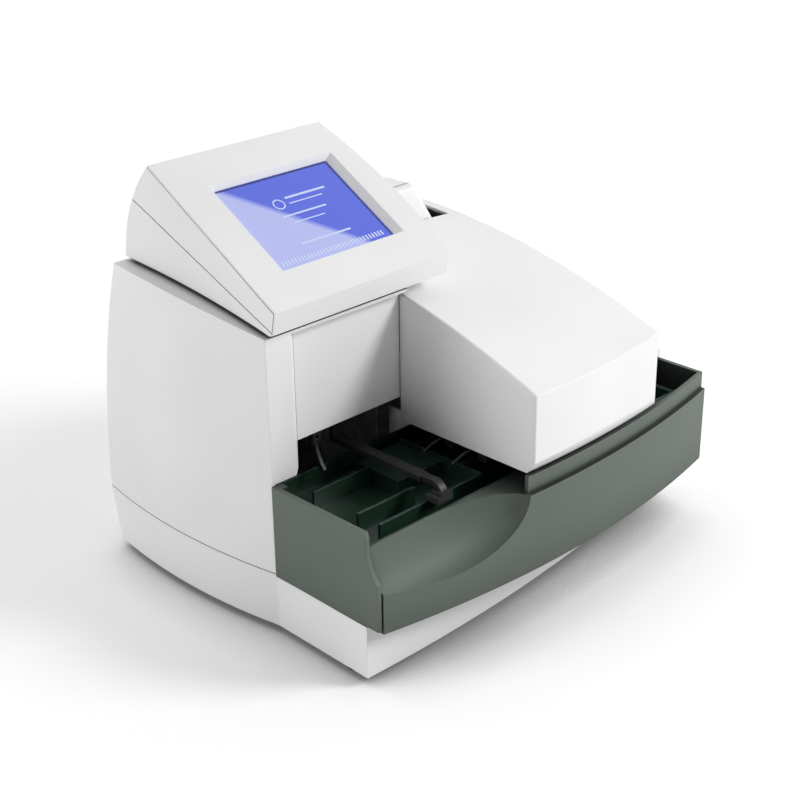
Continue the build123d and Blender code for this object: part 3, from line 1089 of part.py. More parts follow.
def add_printer():
    """Cowl, hinged lid, frame, paper, platen and print head of the thermal printer."""
    outer, inner = hump(), hump(2.2)
    slot_y = PRINTER_FRONT + COWL_DEPTH
    low_z = outer.bounding_box().min.Z
    hollow = inner + Pos(0, 0, -6) * inner
    cowl = outer & block((0, FAR), (0, slot_y), (0, FAR))
    cowl -= hollow & block((0, FAR), (0, slot_y - 2.2), (0, PRINTER_TOP - 5))
    keep("printer_cowl", cowl)

    lid = outer & block((0, FAR), (slot_y + PRINTER_SLOT, FAR), (0, FAR))
    lid -= hollow & block((0, FAR), (slot_y + PRINTER_SLOT + 2, FAR), (0, FAR))
    platen_y, platen_z = platen_axis()
    for x in platen_ends():
        cheek = block((x, x + 2), (platen_y - 4, platen_y + 5), (platen_z - 4, PRINTER_TOP - 2))
        lid += cheek & outer
        lid -= rod("x", (x - 1, platen_y, platen_z), 4, 1.5 + BORE_PLAY)
    lid -= block((platen_ends()[0] - 2, platen_ends()[1] + 4), (0, platen_y), (0, platen_z + PLATEN_RADIUS + 1))
    hinge_y, hinge_z = lid_axis()
    lid -= block((0, FAR), (hinge_y - 4, FAR), (0, hinge_z - 0.4))
    for x in hinge_places():
        lid += rod("x", (x, hinge_y, hinge_z), 12, 2.8)
        for ear in (x - 3 - RUN, x + 12 + RUN):
            lid -= block((ear - RUN, ear + 3 + RUN), (hinge_y - 5, FAR), (0, hinge_z + 2.6 + RUN))
        lid -= rod("x", (x - 1, hinge_y, hinge_z), 14, 1.2 + BORE_PLAY)
    keep("printer_lid", lid)

    frame_top = low_z - RUN
    x = (PRINTER_LEFT, PRINTER_RIGHT + NOTCH_WIDTH - RUN)
    y = (PRINTER_FRONT + RUN, PRINTER_BACK)
    floor_z = 232.0
    frame = block(x, y, (floor_z, frame_top))
    frame -= block((x[0] + 2, PRINTER_RIGHT - 3), (y[0] + 2, y[1] - 2), (floor_z + 2, FAR))
    frame -= block((PRINTER_RIGHT - 1, x[1] - 2), (y[0] + 2, y[1] - 2), (frame_top - 12, FAR))
    roll_x = (platen_ends()[0] + 5, platen_ends()[0] + 5 + ROLL_WIDTH)
    roll_y, roll_z = LID_BACK - 24.0, floor_z + 2 + ROLL_RADIUS + RUN
    journal = 4.0 + BORE_PLAY
    frame -= rod("x", (x[0] - 1, roll_y, roll_z), PRINTER_RIGHT - x[0], journal)
    frame -= block((x[0] - 1, PRINTER_RIGHT - 1), (roll_y - journal, roll_y + journal), (roll_z, FAR))
    for x_low in hinge_places():
        for u in (x_low - 3 - RUN, x_low + 12 + RUN):
            frame += block((u, u + 3), (hinge_y - 2.6, y[1] - 1), (frame_top - 5, frame_top))
            frame += block((u, u + 3), (hinge_y - 2.6, hinge_y + 2.6), (frame_top - 1, hinge_z))
            frame += rod("x", (u, hinge_y, hinge_z), 3, 2.6)
        frame += rod("x", (x_low - 2, hinge_y, hinge_z), 16, 1.2)
    keep("printer_frame", frame)

    roll = rod("x", (roll_x[0], roll_y, roll_z), ROLL_WIDTH, ROLL_RADIUS)
    keep("paper_roll", roll - rod("x", (roll_x[0] - 1, roll_y, roll_z), ROLL_WIDTH + 2, CORE_RADIUS))
    spindle = rod("x", (x[0] + RUN, roll_y, roll_z), PRINTER_RIGHT - 1 - RUN - (x[0] + RUN), 4.0)
    spindle += rod("x", (roll_x[0] - 2, roll_y, roll_z), ROLL_WIDTH + 4, CORE_RADIUS - TOUCH)
    for u in (roll_x[0] - 2.0 - TOUCH, roll_x[1] + TOUCH):
        spindle += rod("x", (u, roll_y, roll_z), 2.0, CORE_RADIUS + 2.0)
    keep("paper_spindle", spindle)

    roller = rod("x", (platen_ends()[0] + 2 + RUN, platen_y, platen_z),
                 platen_ends()[1] - platen_ends()[0] - 2 - 2 * RUN, PLATEN_RADIUS)
    roller += rod("x", (platen_ends()[0] - 1, platen_y, platen_z), platen_ends()[1] - platen_ends()[0] + 4, 1.5)
    keep("platen_roller", roller)

    head = block((roll_x[0] + 1, roll_x[1] - 1), (slot_y - 6, slot_y - 2.4), (platen_z - 7, platen_z + 7))
    head += block((roll_x[0] + 6, roll_x[1] - 6), (y[0] + 2, slot_y - 5), (floor_z + 2, floor_z + 24))
    head += block((roll_x[0] + 20, roll_x[1] - 20), (slot_y - 6, slot_y - 4), (floor_z + 20, platen_z))
    keep("print_head", head)


# ---------------------------------------------------------------- all pieces
if __name__ == "__main__":
    os.makedirs("parts", exist_ok=True)
    keep("base_casing", base_casing())
    add_feet()
    keep("casing_screws", casing_screws())
    keep("upper_casing", upper_casing())
    keep("recess_panel", recess_panel())
    keep("optics_cover", optics_cover())
    keep("chassis_plate", chassis_plate())
    keep("rear_panel", rear_panel())
    keep("inlet_socket", inlet_socket())
    keep("power_rocker", power_rocker())
    keep("switch_frame", switch_frame())
    keep("port_block", port_block())
    keep("fan_frame", fan_frame())
    keep("fan_rotor", fan_rotor())
    keep("power_supply", power_supply())
    keep("main_board", main_board())
    keep("display_bezel", display_bezel())
    keep("display_side_shell", display_side_shell())
    keep("display_base_shell", display_base_shell())
    display_pieces()
    keep("tray_body", tray_body())
    keep("front_fascia", front_fascia())
    keep("strip_platform", strip_platform())
    keep("waste_box", waste_box())
    add_runners()
    keep("pusher_rods", pusher_rods())
    add_pusher_brackets()
    keep("pusher_carriage", pusher_carriage())
    keep("pusher_arm", pusher_arm())
    keep("pusher_foot", pusher_foot())
    keep("pusher_motor", pusher_motor())
    keep("pusher_pulley", pusher_pulley())
    keep("rake_rods", rake_rods())
    keep("strip_rake", strip_rake())
    keep("rake_fingers", rake_fingers())
    for name, shape in zip(("lever_bracket", "strip_lever"), strip_lever_parts()):
        keep(name, shape)
    keep("optics_chassis", optics_chassis())
    keep("scan_rods", scan_rods())
    keep("scan_carriage", scan_carriage())
    keep("lens_barrel", lens_barrel())
    keep("sensor_board", sensor_board())
    keep("scan_screw", scan_screw())
    keep("scan_motor", scan_motor())
    add_printer()
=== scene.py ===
# %% [markdown]
# # A bench-top strip analyzer, dressed in Blender
#
# The object is a white laboratory machine that reads test strips. A tower on the left carries a
# tilted screen, a wing on the right hides the optics, and a dark green drawer carries the strips.
# Every shell, rib and rod comes from the CAD frame, so this script gives the solids their
# finishes, and adds only what the screen shows.

# %% Load the frame
import math

import bmesh
import bpy
from mathutils import Matrix, Vector


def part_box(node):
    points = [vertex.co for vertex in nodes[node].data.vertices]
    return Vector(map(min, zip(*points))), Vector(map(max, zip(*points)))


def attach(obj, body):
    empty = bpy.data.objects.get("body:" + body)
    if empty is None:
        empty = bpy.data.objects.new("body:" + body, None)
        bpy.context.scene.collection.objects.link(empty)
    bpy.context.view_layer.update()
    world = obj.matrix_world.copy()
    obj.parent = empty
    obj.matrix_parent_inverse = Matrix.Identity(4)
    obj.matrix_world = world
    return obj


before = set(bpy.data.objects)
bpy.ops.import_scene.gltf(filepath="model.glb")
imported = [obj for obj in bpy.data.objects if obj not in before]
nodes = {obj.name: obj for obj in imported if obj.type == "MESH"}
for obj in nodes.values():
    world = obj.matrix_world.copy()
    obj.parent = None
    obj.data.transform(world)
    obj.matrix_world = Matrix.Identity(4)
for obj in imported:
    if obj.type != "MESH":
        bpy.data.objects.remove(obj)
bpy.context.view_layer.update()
print("CAD nodes:", len(nodes))

# %% [markdown]
# ## Camera
#
# The picture was taken from the front left, about 25 degrees above the bench. The place and the
# lens come from fitting a pinhole camera to the machine's own corners, and the tiny roll levels
# the drawer's edge as it lies in the picture. Building the rotation from three unit vectors shows
# what the angles do more plainly than three Euler numbers would.

# %% Place the camera
CAMERA_PLACE = Vector((-0.9059, -0.8966, 0.7221))
AZIMUTH = math.radians(-44.56)
ELEVATION = math.radians(24.9)
ROLL = math.radians(-0.74)
LENS = 70.6

toward_camera = Vector((math.sin(AZIMUTH) * math.cos(ELEVATION),
                        -math.cos(AZIMUTH) * math.cos(ELEVATION), math.sin(ELEVATION)))
level_right = Vector((math.cos(AZIMUTH), math.sin(AZIMUTH), 0.0))
level_up = toward_camera.cross(level_right)
right = math.cos(ROLL) * level_right + math.sin(ROLL) * level_up
up = toward_camera.cross(right)

lens = bpy.data.cameras.new("bench_camera")
lens.lens = LENS
lens.sensor_width = 36.0
lens.clip_start = 0.05
camera = bpy.data.objects.new("bench_camera", lens)
turn = Matrix((right, up, toward_camera)).transposed().to_4x4()
camera.matrix_world = Matrix.Translation(CAMERA_PLACE) @ turn
bpy.context.scene.collection.objects.link(camera)
bpy.context.scene.camera = camera
print("camera at", [round(v, 3) for v in camera.location], "lens", LENS)

# %% [markdown]
# ## Light and floor
#
# Product pictures like this one are shot in a white tent with an opening for the camera. Most of
# the tent glows, but the opening sends almost nothing, so every corner that faces the camera and
# little else falls off to grey: the recess beside the wing, and the wing's own flank. A dot
# product of the ray's direction with the opening's direction sets how much the tent gives.
# The camera, reflections and glass see plain white instead, through the Light Path node.

# %% Build the white tent
TENT_LIGHT = 0.80
OPENING_LIGHT = 0.05
OPENING_TOWARD = (-0.60, -0.74, 0.30)
OPENING_EDGE = (0.20, 0.80)

scene = bpy.context.scene
scene.view_settings.view_transform = "Standard"
world = bpy.data.worlds.new("white_tent")
scene.world = world
world.use_nodes = True
tree = world.node_tree
tree.nodes.clear()
out = tree.nodes.new("ShaderNodeOutputWorld")
tent = tree.nodes.new("ShaderNodeBackground")
seen = tree.nodes.new("ShaderNodeBackground")
tent.inputs["Color"].default_value = (1.0, 1.0, 1.0, 1.0)
seen.inputs["Color"].default_value = (1.0, 1.0, 1.0, 1.0)
seen.inputs["Strength"].default_value = 1.0
direction = tree.nodes.new("ShaderNodeTexCoord")
toward = tree.nodes.new("ShaderNodeVectorMath")
toward.operation = "DOT_PRODUCT"
toward.inputs[1].default_value = Vector(OPENING_TOWARD).normalized()
tree.links.new(direction.outputs["Generated"], toward.inputs[0])
fall = tree.nodes.new("ShaderNodeMapRange")
fall.interpolation_type = "SMOOTHSTEP"
fall.inputs["From Min"].default_value = OPENING_EDGE[0]
fall.inputs["From Max"].default_value = OPENING_EDGE[1]
fall.inputs["To Min"].default_value = TENT_LIGHT
fall.inputs["To Max"].default_value = OPENING_LIGHT
tree.links.new(toward.outputs["Value"], fall.inputs["Value"])
tree.links.new(fall.outputs["Result"], tent.inputs["Strength"])


def seen_rays(tree):
    """1 for the rays of the camera, of reflections and of glass, 0 for the rays that light things."""
    rays = tree.nodes.new("ShaderNodeLightPath")
    total = rays.outputs["Is Camera Ray"]
    for kind in ("Is Glossy Ray", "Is Transmission Ray"):
        either = tree.nodes.new("ShaderNodeMath")
        either.operation = "MAXIMUM"
        tree.links.new(total, either.inputs[0])
        tree.links.new(rays.outputs[kind], either.inputs[1])
        total = either.outputs[0]
    return total


choose = tree.nodes.new("ShaderNodeMixShader")
tree.links.new(seen_rays(tree), choose.inputs["Fac"])
tree.links.new(tent.outputs[0], choose.inputs[1])
tree.links.new(seen.outputs[0], choose.inputs[2])
tree.links.new(choose.outputs[0], out.inputs["Surface"])
print("tent light", TENT_LIGHT, "opening", OPENING_LIGHT)


# %% Hang two wide lamps
def wide_lamp(name, place, target, size, watts):
    data = bpy.data.lights.new(name, "AREA")
    data.shape = "DISK"
    data.size = size
    data.energy = watts
    lamp = bpy.data.objects.new(name, data)
    lamp.location = place
    lamp.rotation_euler = (Vector(target) - Vector(place)).to_track_quat("-Z", "Y").to_euler()
    scene.collection.objects.link(lamp)
    return lamp


wide_lamp("key_lamp", place=(1.25, -1.75, 1.55), target=(0.05, -0.1, 0.15), size=0.9, watts=40.0)
wide_lamp("side_lamp", place=(-2.0, 0.7, 0.7), target=(-0.2, 0.1, 0.12), size=1.2, watts=12.0)

# %% [markdown]
# ## Painted shade in nooks and on the floor
#
# An ambient-occlusion node measures how open each point is, and a ramp turns that into painted
# shade in the base colour: a short reach paints shade into the seams between shells, a long reach
# paints the contact shadow on the floor.

# %% Two helpers for colours
def ramp(tree, source, low, high, span=(0.35, 0.65)):
    node = tree.nodes.new("ShaderNodeValToRGB")
    for stop, position, colour in zip(node.color_ramp.elements, span, (low, high)):
        stop.position = position
        stop.color = (*colour, 1.0)
    tree.links.new(source, node.inputs["Fac"])
    return node


def paint_nook_shade(tree, colour, reach, span, dark):
    """The colour with painted shade: darkened where surfaces closer than reach shut out the light, as
    in grooves.
    """
    nook = tree.nodes.new("ShaderNodeAmbientOcclusion")
    nook.samples = 8
    nook.inputs["Distance"].default_value = reach
    shade = ramp(tree, nook.outputs["AO"], (dark, dark, dark), (1.0, 1.0, 1.0), span)
    product = tree.nodes.new("ShaderNodeMix")
    product.data_type = "RGBA"
    product.blend_type = "MULTIPLY"
    product.inputs["Factor"].default_value = 1.0
    tree.links.new(colour, product.inputs["A"])
    tree.links.new(shade.outputs["Color"], product.inputs["B"])
    return product.outputs["Result"]


# %% Lay the floor
# The sweep glows a little where it is seen, so it reads as white paper and keeps its shadow.
FLOOR_SIZE = 30.0
FLOOR_LIFT = (0.23, 0.60)        # near the machine and far from it
LIFT_REACH = (0.40, 1.80)        # metres from the middle
PAPER_WHITE = (0.88, 0.88, 0.88, 1.0)
CONTACT_SHADOW = (0.11, (0.22, 0.72), 0.30)        # reach, span of openness, darkest share

floor_mesh = bpy.data.meshes.new("floor")
build = bmesh.new()
bmesh.ops.create_grid(build, x_segments=2, y_segments=2, size=FLOOR_SIZE)
build.to_mesh(floor_mesh)
build.free()
floor = bpy.data.objects.new("floor", floor_mesh)
scene.collection.objects.link(floor)
paint = bpy.data.materials.new("white_sweep")
paint.use_nodes = True
floor_tree = paint.node_tree
coat = floor_tree.nodes["Principled BSDF"]
coat.inputs["Roughness"].default_value = 0.9
coat.inputs["Specular IOR Level"].default_value = 0.0
paper = floor_tree.nodes.new("ShaderNodeRGB")
paper.outputs[0].default_value = PAPER_WHITE
# painted contact shadow: the paper colour is darkened by ambient occlusion near the machine, in both
# base and glow colour
shaded = paint_nook_shade(floor_tree, paper.outputs[0], *CONTACT_SHADOW)
floor_tree.links.new(shaded, coat.inputs["Base Color"])
floor_tree.links.new(shaded, coat.inputs["Emission Color"])
floor_place = floor_tree.nodes.new("ShaderNodeTexCoord")
distance = floor_tree.nodes.new("ShaderNodeVectorMath")
distance.operation = "LENGTH"
floor_tree.links.new(floor_place.outputs["Object"], distance.inputs[0])
far_lift = floor_tree.nodes.new("ShaderNodeMapRange")
far_lift.inputs["From Min"].default_value, far_lift.inputs["From Max"].default_value = LIFT_REACH
far_lift.inputs["To Min"].default_value, far_lift.inputs["To Max"].default_value = FLOOR_LIFT
floor_tree.links.new(distance.outputs["Value"], far_lift.inputs["Value"])
lift = floor_tree.nodes.new("ShaderNodeMath")
lift.operation = "MULTIPLY"
floor_tree.links.new(seen_rays(floor_tree), lift.inputs[0])
floor_tree.links.new(far_lift.outputs["Result"], lift.inputs[1])
floor_tree.links.new(lift.outputs[0], coat.inputs["Emission Strength"])
floor_mesh.materials.append(paint)
print("floor", FLOOR_SIZE * 2, "m across")


# %% [markdown]
# ## Moulded plastic
#
# The shells are injection moulded with a fine spark-eroded texture: close up, a matt surface of
# tiny pits, and from a step away, a soft sheen. A fine noise drives the bump and the roughness,
# and a very broad noise shifts the colour by a hair, as a real moulding has. A Bevel node rounds
# the look of each edge, because no moulded edge is a perfect knife edge.

# %% A maker for moulded plastics
def new_material(name):
    material = bpy.data.materials.new(name)
    material.use_nodes = True
    shader = material.node_tree.nodes["Principled BSDF"]
    return material, material.node_tree, shader


def noise(tree, place, scale, detail=2.0):
    node = tree.nodes.new("ShaderNodeTexNoise")
    node.inputs["Scale"].default_value = scale
    node.inputs["Detail"].default_value = detail
    tree.links.new(place, node.inputs["Vector"])
    return node


BROAD_SCALE = 9.0            # noise cells per metre for the slow shift of colour
GLOSS_SPREAD = 0.06
PIT_DEPTH = 0.0004
PLAIN_SPECULAR = 0.35


def moulded(name, colour, roughness, grain=2600.0, depth=0.04, shift=0.02, edge=0.0005, sheen=0.0,
            nook_shade=None):
    material, tree, shader = new_material(name)
    place = tree.nodes.new("ShaderNodeTexCoord").outputs["Object"]
    broad = noise(tree, place, BROAD_SCALE, 1.0)
    low = [c * (1.0 - shift) for c in colour]
    high = [min(1.0, c * (1.0 + shift)) for c in colour]
    tint = ramp(tree, broad.outputs["Fac"], low, high).outputs["Color"]
    # painted shade: when given, the base colour is darkened in nooks by ambient occlusion
    if nook_shade:
        tint = paint_nook_shade(tree, tint, *nook_shade)
    tree.links.new(tint, shader.inputs["Base Color"])
    fine = noise(tree, place, grain)
    gloss = tree.nodes.new("ShaderNodeMapRange")
    gloss.inputs["To Min"].default_value = roughness - GLOSS_SPREAD
    gloss.inputs["To Max"].default_value = roughness + GLOSS_SPREAD
    tree.links.new(fine.outputs["Fac"], gloss.inputs["Value"])
    tree.links.new(gloss.outputs["Result"], shader.inputs["Roughness"])
    bump = tree.nodes.new("ShaderNodeBump")
    bump.inputs["Strength"].default_value = depth
    bump.inputs["Distance"].default_value = PIT_DEPTH
    tree.links.new(fine.outputs["Fac"], bump.inputs["Height"])
    if edge:
        soft = tree.nodes.new("ShaderNodeBevel")
        soft.samples = 4
        soft.inputs["Radius"].default_value = edge
        tree.links.new(soft.outputs["Normal"], bump.inputs["Normal"])
    tree.links.new(bump.outputs["Normal"], shader.inputs["Normal"])
    shader.inputs["Specular IOR Level"].default_value = PLAIN_SPECULAR + sheen
    return material


def finish_nodes(material, names):
    for name in names:
        slots = nodes[name].data.materials
        if not slots:
            slots.append(material)
        for i in range(len(slots)):
            slots[i] = material


WHITE = (0.85, 0.85, 0.85)
# painted shade: the white is darkened by ambient occlusion in the seams between shells, such as the
# groove under the head
SEAM_SHADE = (0.015, (0.26, 0.58), 0.14)      # reach, span of openness, darkest share
white = moulded("moulded_white", WHITE, 0.42, sheen=0.05, nook_shade=SEAM_SHADE)
finish_nodes(white, ["base_casing", "upper_casing", "optics_cover", "recess_panel", "display_bezel",
                     "display_side_shell", "display_base_shell", "printer_cowl", "printer_lid"])
print("white shells painted")

# %% [markdown]
# ## The green drawer
#
# The drawer front is a grey-green satin plastic. The tub and the rib insert behind it are the
# same green, painted far darker as painted shade for the inside of the drawer, with more gloss, so
# their edges catch the light.

# %% Greens
GREEN = (0.116, 0.140, 0.117)
# painted shade: the same green made far darker to stand for the shade inside the tub
SHADED_TUB_GREEN = (0.012, 0.034, 0.022)
# painted shade: the satin green is darkened by ambient occlusion inside the finger scoop
BOWL_SHADE = (0.09, (0.58, 0.97), 0.14)        # reach, span of openness, darkest share
green = moulded("satin_green", GREEN, 0.58, depth=0.03, shift=0.04, edge=0.0008, nook_shade=BOWL_SHADE)
shaded_dark_green = moulded("shaded_tub_green", SHADED_TUB_GREEN, 0.33, depth=0.03, shift=0.08, edge=0.0006, sheen=0.15)
finish_nodes(green, ["front_fascia", "tray_body"])
finish_nodes(shaded_dark_green, ["strip_platform", "waste_box"])
print("green pieces painted")

# %% [markdown]
# ## Black and pale technical plastics, and rubber
#
# Arms, combs, sockets and the fan are black glass-filled nylon: rougher than the shells and never
# fully black. The feet and rollers are rubber, which is rougher still and has almost no highlight.

# %% Technical plastics and rubber
nylon = moulded("black_nylon", (0.014, 0.014, 0.015), 0.45, grain=1800.0, depth=0.06, shift=0.1)
pale_nylon = moulded("pale_nylon", (0.60, 0.60, 0.58), 0.45, grain=1800.0, depth=0.05)
rubber = moulded("black_rubber", (0.012, 0.012, 0.012), 0.78, grain=900.0, depth=0.10, shift=0.15)
finish_nodes(nylon, ["inlet_socket", "power_rocker", "switch_frame", "fan_frame", "fan_rotor",
                     "pusher_arm", "lens_barrel", "print_head", "printer_frame", "strip_rake",
                     "scan_carriage", "rake_fingers", "paper_spindle", "lever_bracket", "strip_lever",
                     "port_block"])
finish_nodes(pale_nylon, ["pusher_carriage", "pusher_pulley"])
finish_nodes(rubber, ["foot_front_left", "foot_front_right", "foot_rear_left", "foot_rear_right",
                      "pusher_foot", "platen_roller"])
print("technical plastics and rubber painted")

# %% [markdown]
# ## Metals
#
# The chassis and brackets are zinc-plated sheet: soft mottled spangle, half matt. The rods are
# ground steel, with the same pattern more than ten times finer. The power supply's case is
# brushed, so its noise is stretched along one axis.

# %% A maker for metals
def metal(name, colour, roughness, stretch, scale=220.0, spread=0.12, tone=0.15):
    material, tree, shader = new_material(name)
    place = tree.nodes.new("ShaderNodeTexCoord").outputs["Object"]
    scaled = tree.nodes.new("ShaderNodeMapping")
    scaled.inputs["Scale"].default_value = stretch
    tree.links.new(place, scaled.inputs["Vector"])
    lines = noise(tree, scaled.outputs["Vector"], scale, 4.0)
    low = [c * (1.0 - tone) for c in colour]
    tint = ramp(tree, lines.outputs["Fac"], low, colour)
    tree.links.new(tint.outputs["Color"], shader.inputs["Base Color"])
    gloss = tree.nodes.new("ShaderNodeMapRange")
    gloss.inputs["To Min"].default_value = roughness - spread
    gloss.inputs["To Max"].default_value = roughness + spread
    tree.links.new(lines.outputs["Fac"], gloss.inputs["Value"])
    tree.links.new(gloss.outputs["Result"], shader.inputs["Roughness"])
    shader.inputs["Metallic"].default_value = 1.0
    return material


zinc = metal("zinc_sheet", (0.62, 0.63, 0.65), 0.38, (1.0, 1.0, 1.0), scale=60.0)
ground = metal("ground_steel", (0.66, 0.66, 0.68), 0.22, (1.0, 1.0, 1.0), scale=700.0, spread=0.08)
supply = metal("supply_case", (0.70, 0.71, 0.72), 0.34, (1.0, 14.0, 1.0))
motor_black = moulded("motor_enamel", (0.02, 0.02, 0.022), 0.35, depth=0.02, shift=0.1)
finish_nodes(zinc, ["chassis_plate", "rear_panel", "optics_chassis", "pusher_bracket_left",
                    "pusher_bracket_right", "drawer_channel_left", "drawer_channel_right",
                    "drawer_runner_left", "drawer_runner_right", "lcd_module"])
finish_nodes(ground, ["casing_screws", "pusher_rods", "rake_rods", "scan_rods", "scan_screw"])
finish_nodes(supply, ["power_supply"])
finish_nodes(motor_black, ["pusher_motor", "scan_motor"])
print("metal pieces painted")


# %% [markdown]
# ## Circuit boards and paper
#
# A lacquered board is dark green with a fine darker track pattern. Voronoi cells with Manhattan
# distances, cut hard by a ramp, read as tracks at the size they are seen. The paper roll is
# near-white with the fine rings of its windings on the ends.

# %% Boards and paper
def lacquered_board(name):
    material, tree, shader = new_material(name)
    place = tree.nodes.new("ShaderNodeTexCoord").outputs["Object"]
    tracks = tree.nodes.new("ShaderNodeTexVoronoi")
    tracks.distance = "MANHATTAN"
    tracks.inputs["Scale"].default_value = 260.0
    tree.links.new(place, tracks.inputs["Vector"])
    tint = ramp(tree, tracks.outputs["Distance"], (0.012, 0.10, 0.04), (0.02, 0.17, 0.07), (0.25, 0.32))
    tree.links.new(tint.outputs["Color"], shader.inputs["Base Color"])
    shader.inputs["Roughness"].default_value = 0.28
    return material


def wound_paper(name, axis_y, axis_z):
    material, tree, shader = new_material(name)
    place = tree.nodes.new("ShaderNodeTexCoord").outputs["Object"]
    centred = tree.nodes.new("ShaderNodeMapping")
    centred.inputs["Location"].default_value = (0.0, -axis_y, -axis_z)
    centred.inputs["Rotation"].default_value = (0.0, math.radians(90), 0.0)
    tree.links.new(place, centred.inputs["Vector"])
    rings = tree.nodes.new("ShaderNodeTexWave")
    rings.wave_type = "RINGS"
    rings.rings_direction = "SPHERICAL"
    rings.inputs["Scale"].default_value = 400.0
    tree.links.new(centred.outputs["Vector"], rings.inputs["Vector"])
    tint = ramp(tree, rings.outputs["Fac"], (0.80, 0.80, 0.77), (0.88, 0.88, 0.86))
    tree.links.new(tint.outputs["Color"], shader.inputs["Base Color"])
    shader.inputs["Roughness"].default_value = 0.8
    return material


board = lacquered_board("lacquered_board")
finish_nodes(board, ["main_board", "display_board", "sensor_board"])
roll_low, roll_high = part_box("paper_roll")
roll_y = (roll_low[1] + roll_high[1]) / 2
roll_z = (roll_low[2] + roll_high[2]) / 2
finish_nodes(wound_paper("thermal_paper", roll_y, roll_z), ["paper_roll"])
print("paper roll axis at", round(roll_y, 4), round(roll_z, 4))

# %% [markdown]
# ## The blue screen
#
# The display is a blue LCD behind glass. Its face lies on the slope of the head, so positions on
# it are counted along the slope. A painted reflection, a pale glare with a slanting edge, covers
# the lower left, and the rest is deep blue. One dot product and a ramp draw it, so it stays on the
# glass from any side. The screen glows a little, as a backlit display does, and the painted glare glows
# with it.

# %% Find the sloped face
glass_low, glass_high = map(Vector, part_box("screen_glass"))
run = glass_high.y - glass_low.y
GLASS_THICK = 0.0015
FACE_LOW = (108.5, 287.4)        # ends of the sloped face in the drawing, y and z in mm
FACE_HIGH = (257.0, 372.0)
SLOPE = math.atan2(FACE_HIGH[1] - FACE_LOW[1], FACE_HIGH[0] - FACE_LOW[0])
slope_up = Vector((0.0, math.cos(SLOPE), math.sin(SLOPE)))
face_out = Vector((0.0, -math.sin(SLOPE), math.cos(SLOPE)))
glass_corner = Vector((glass_low.x, glass_low.y, glass_low.z + GLASS_THICK * math.cos(SLOPE)))
glass_width = glass_high.x - glass_low.x
glass_height = (run - GLASS_THICK * math.sin(SLOPE)) / math.cos(SLOPE)
print("screen", round(glass_width * 1000, 1), "x", round(glass_height * 1000, 1), "mm, slope",
      round(math.degrees(SLOPE), 1))


# %% Light the screen
def screen_finish(name):
    material, tree, shader = new_material(name)
    place = tree.nodes.new("ShaderNodeTexCoord").outputs["Object"]
    from_corner = tree.nodes.new("ShaderNodeVectorMath")
    from_corner.operation = "SUBTRACT"
    from_corner.inputs[1].default_value = glass_corner
    tree.links.new(place, from_corner.inputs[0])
    diagonal = tree.nodes.new("ShaderNodeVectorMath")
    diagonal.operation = "DOT_PRODUCT"
    across = Vector((0.57 / glass_width, 0.0, 0.0)) + slope_up * (0.43 / glass_height)
    diagonal.inputs[1].default_value = across
    tree.links.new(from_corner.outputs["Vector"], diagonal.inputs[0])
    tint = tree.nodes.new("ShaderNodeValToRGB")
    stops = tint.color_ramp.elements
    # painted reflection: the pale first stop paints the glare on the lower left, and it glows through
    # the emission
    stops[0].position, stops[0].color = 0.43, (0.29, 0.32, 0.57, 1.0)
    stops[1].position, stops[1].color = 0.47, (0.042, 0.072, 0.47, 1.0)
    tree.links.new(diagonal.outputs["Value"], tint.inputs["Fac"])
    tree.links.new(tint.outputs["Color"], shader.inputs["Base Color"])
    tree.links.new(tint.outputs["Color"], shader.inputs["Emission Color"])
    shader.inputs["Emission Strength"].default_value = 0.55
    shader.inputs["Roughness"].default_value = 0.16
    shader.inputs["Coat Weight"].default_value = 0.4
    shader.inputs["Coat Roughness"].default_value = 0.05
    return material


finish_nodes(screen_finish("blue_display"), ["screen_glass"])
print("screen lit")

# %% [markdown]
# ## What the screen shows
#
# A plain start page: a ring symbol, five bars and a row of ticks along the bottom, inside a dark
# border. They are flat shapes a hair above the glass, built corner by corner in the screen's own
# plane, so no picture file is needed.

# %% Draw flat shapes on the glass
MARK_LIFT = 0.00012


def on_glass(u, v, lift=MARK_LIFT):
    """A point on the glass: u along the width and v up the slope, both from 0 to 1."""
    return (glass_corner + Vector((u * glass_width, 0, 0)) + slope_up * (v * glass_height)
            + face_out * lift)


def flat_shapes(name, shapes, material, body="housing"):
    mesh = bpy.data.meshes.new(name)
    build = bmesh.new()
    for corners in shapes:
        build.faces.new([build.verts.new(p) for p in corners])
    build.to_mesh(mesh)
    build.free()
    piece = bpy.data.objects.new(name, mesh)
    mesh.materials.append(material)
    scene.collection.objects.link(piece)
    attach(piece, body)
    return piece


def bar(u0, v0, u1, v1):
    return [on_glass(u0, v0), on_glass(u1, v0), on_glass(u1, v1), on_glass(u0, v1)]


def ring_piece(u, v, radius, width, start, end, steps=28):
    ratio = glass_width / glass_height
    shapes = []
    for i in range(steps):
        a = math.radians(start + (end - start) * i / steps)
        b = math.radians(start + (end - start) * (i + 1) / steps)
        outer, inner = radius, radius - width
        shapes.append([on_glass(u + outer * math.cos(a), v + outer * ratio * math.sin(a)),
                       on_glass(u + outer * math.cos(b), v + outer * ratio * math.sin(b)),
                       on_glass(u + inner * math.cos(b), v + inner * ratio * math.sin(b)),
                       on_glass(u + inner * math.cos(a), v + inner * ratio * math.sin(a))])
    return shapes


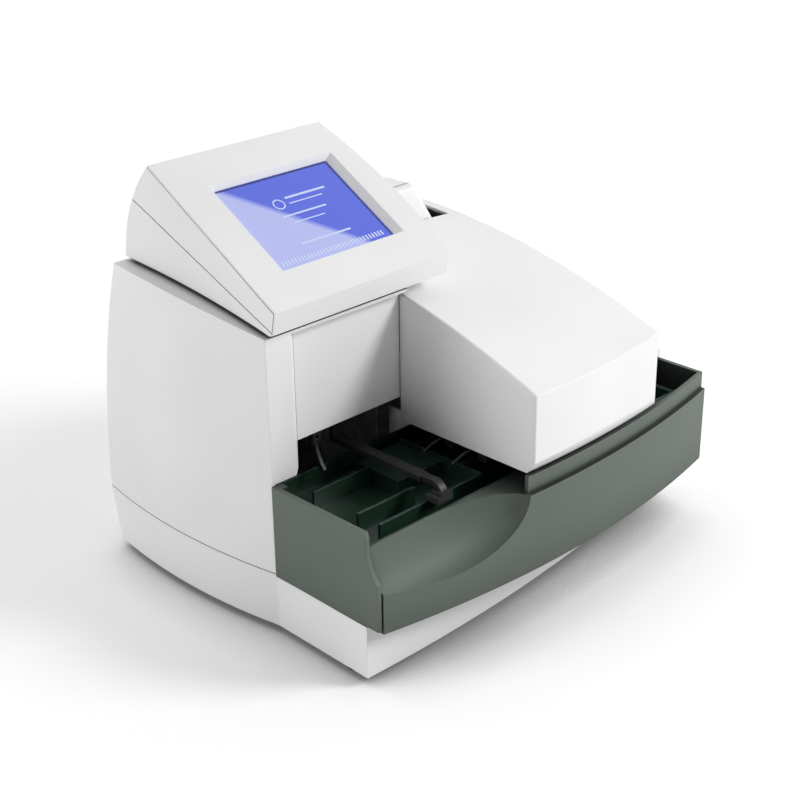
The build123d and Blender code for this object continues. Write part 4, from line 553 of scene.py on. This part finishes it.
def glow(name, colour, strength):
    material, tree, shader = new_material(name)
    place = tree.nodes.new("ShaderNodeTexCoord").outputs["Object"]
    cells = noise(tree, place, 1500.0, 1.0)
    tint = ramp(tree, cells.outputs["Fac"], [c * 0.9 for c in colour], colour)
    tree.links.new(tint.outputs["Color"], shader.inputs["Base Color"])
    tree.links.new(tint.outputs["Color"], shader.inputs["Emission Color"])
    shader.inputs["Emission Strength"].default_value = strength
    shader.inputs["Roughness"].default_value = 0.3
    return material


pale_blue = glow("pale_pixels", (0.52, 0.60, 0.84), 0.2)
navy = glow("navy_pixels", (0.010, 0.016, 0.09), 0.0)
TICKS, TICK_START, TICK_STEP, TICK_WIDTH = 33, 0.06, 0.0262, 0.014
TICK_LOW, TICK_HIGH = 0.062, 0.112
starts = [TICK_START + i * TICK_STEP for i in range(TICKS)]
ticks = [bar(start, TICK_LOW, start + TICK_WIDTH, TICK_HIGH) for start in starts]
flat_shapes("screen_ticks", ticks, pale_blue)
# each line: left and right end, lower and upper edge
LINES = ((0.46, 0.80, 0.700, 0.722), (0.46, 0.74, 0.640, 0.652), (0.34, 0.70, 0.520, 0.538),
         (0.38, 0.64, 0.440, 0.452), (0.30, 0.72, 0.215, 0.235))
lines = [bar(left, low, right_end, high) for left, right_end, low, high in LINES]
flat_shapes("screen_lines", lines, pale_blue)
SYMBOL_PLACE, SYMBOL_RADIUS, SYMBOL_WIDTH = (0.385, 0.665), 0.045, 0.010
symbol = ring_piece(*SYMBOL_PLACE, SYMBOL_RADIUS, SYMBOL_WIDTH, 0, 360)
flat_shapes("screen_symbol", symbol, pale_blue)
LEFT, RIGHT, LOW, HIGH = 0.030, 0.970, 0.037, 0.963
BORDER = 0.011
top_bar = HIGH - 1.3 * BORDER
frame_bars = [bar(LEFT, top_bar, RIGHT, HIGH), bar(RIGHT - BORDER, LOW, RIGHT, top_bar)]
flat_shapes("screen_border", frame_bars, navy)
print("screen marks:", len(ticks), "ticks and", len(lines), "lines")

# %% Finish
print("scene ready")
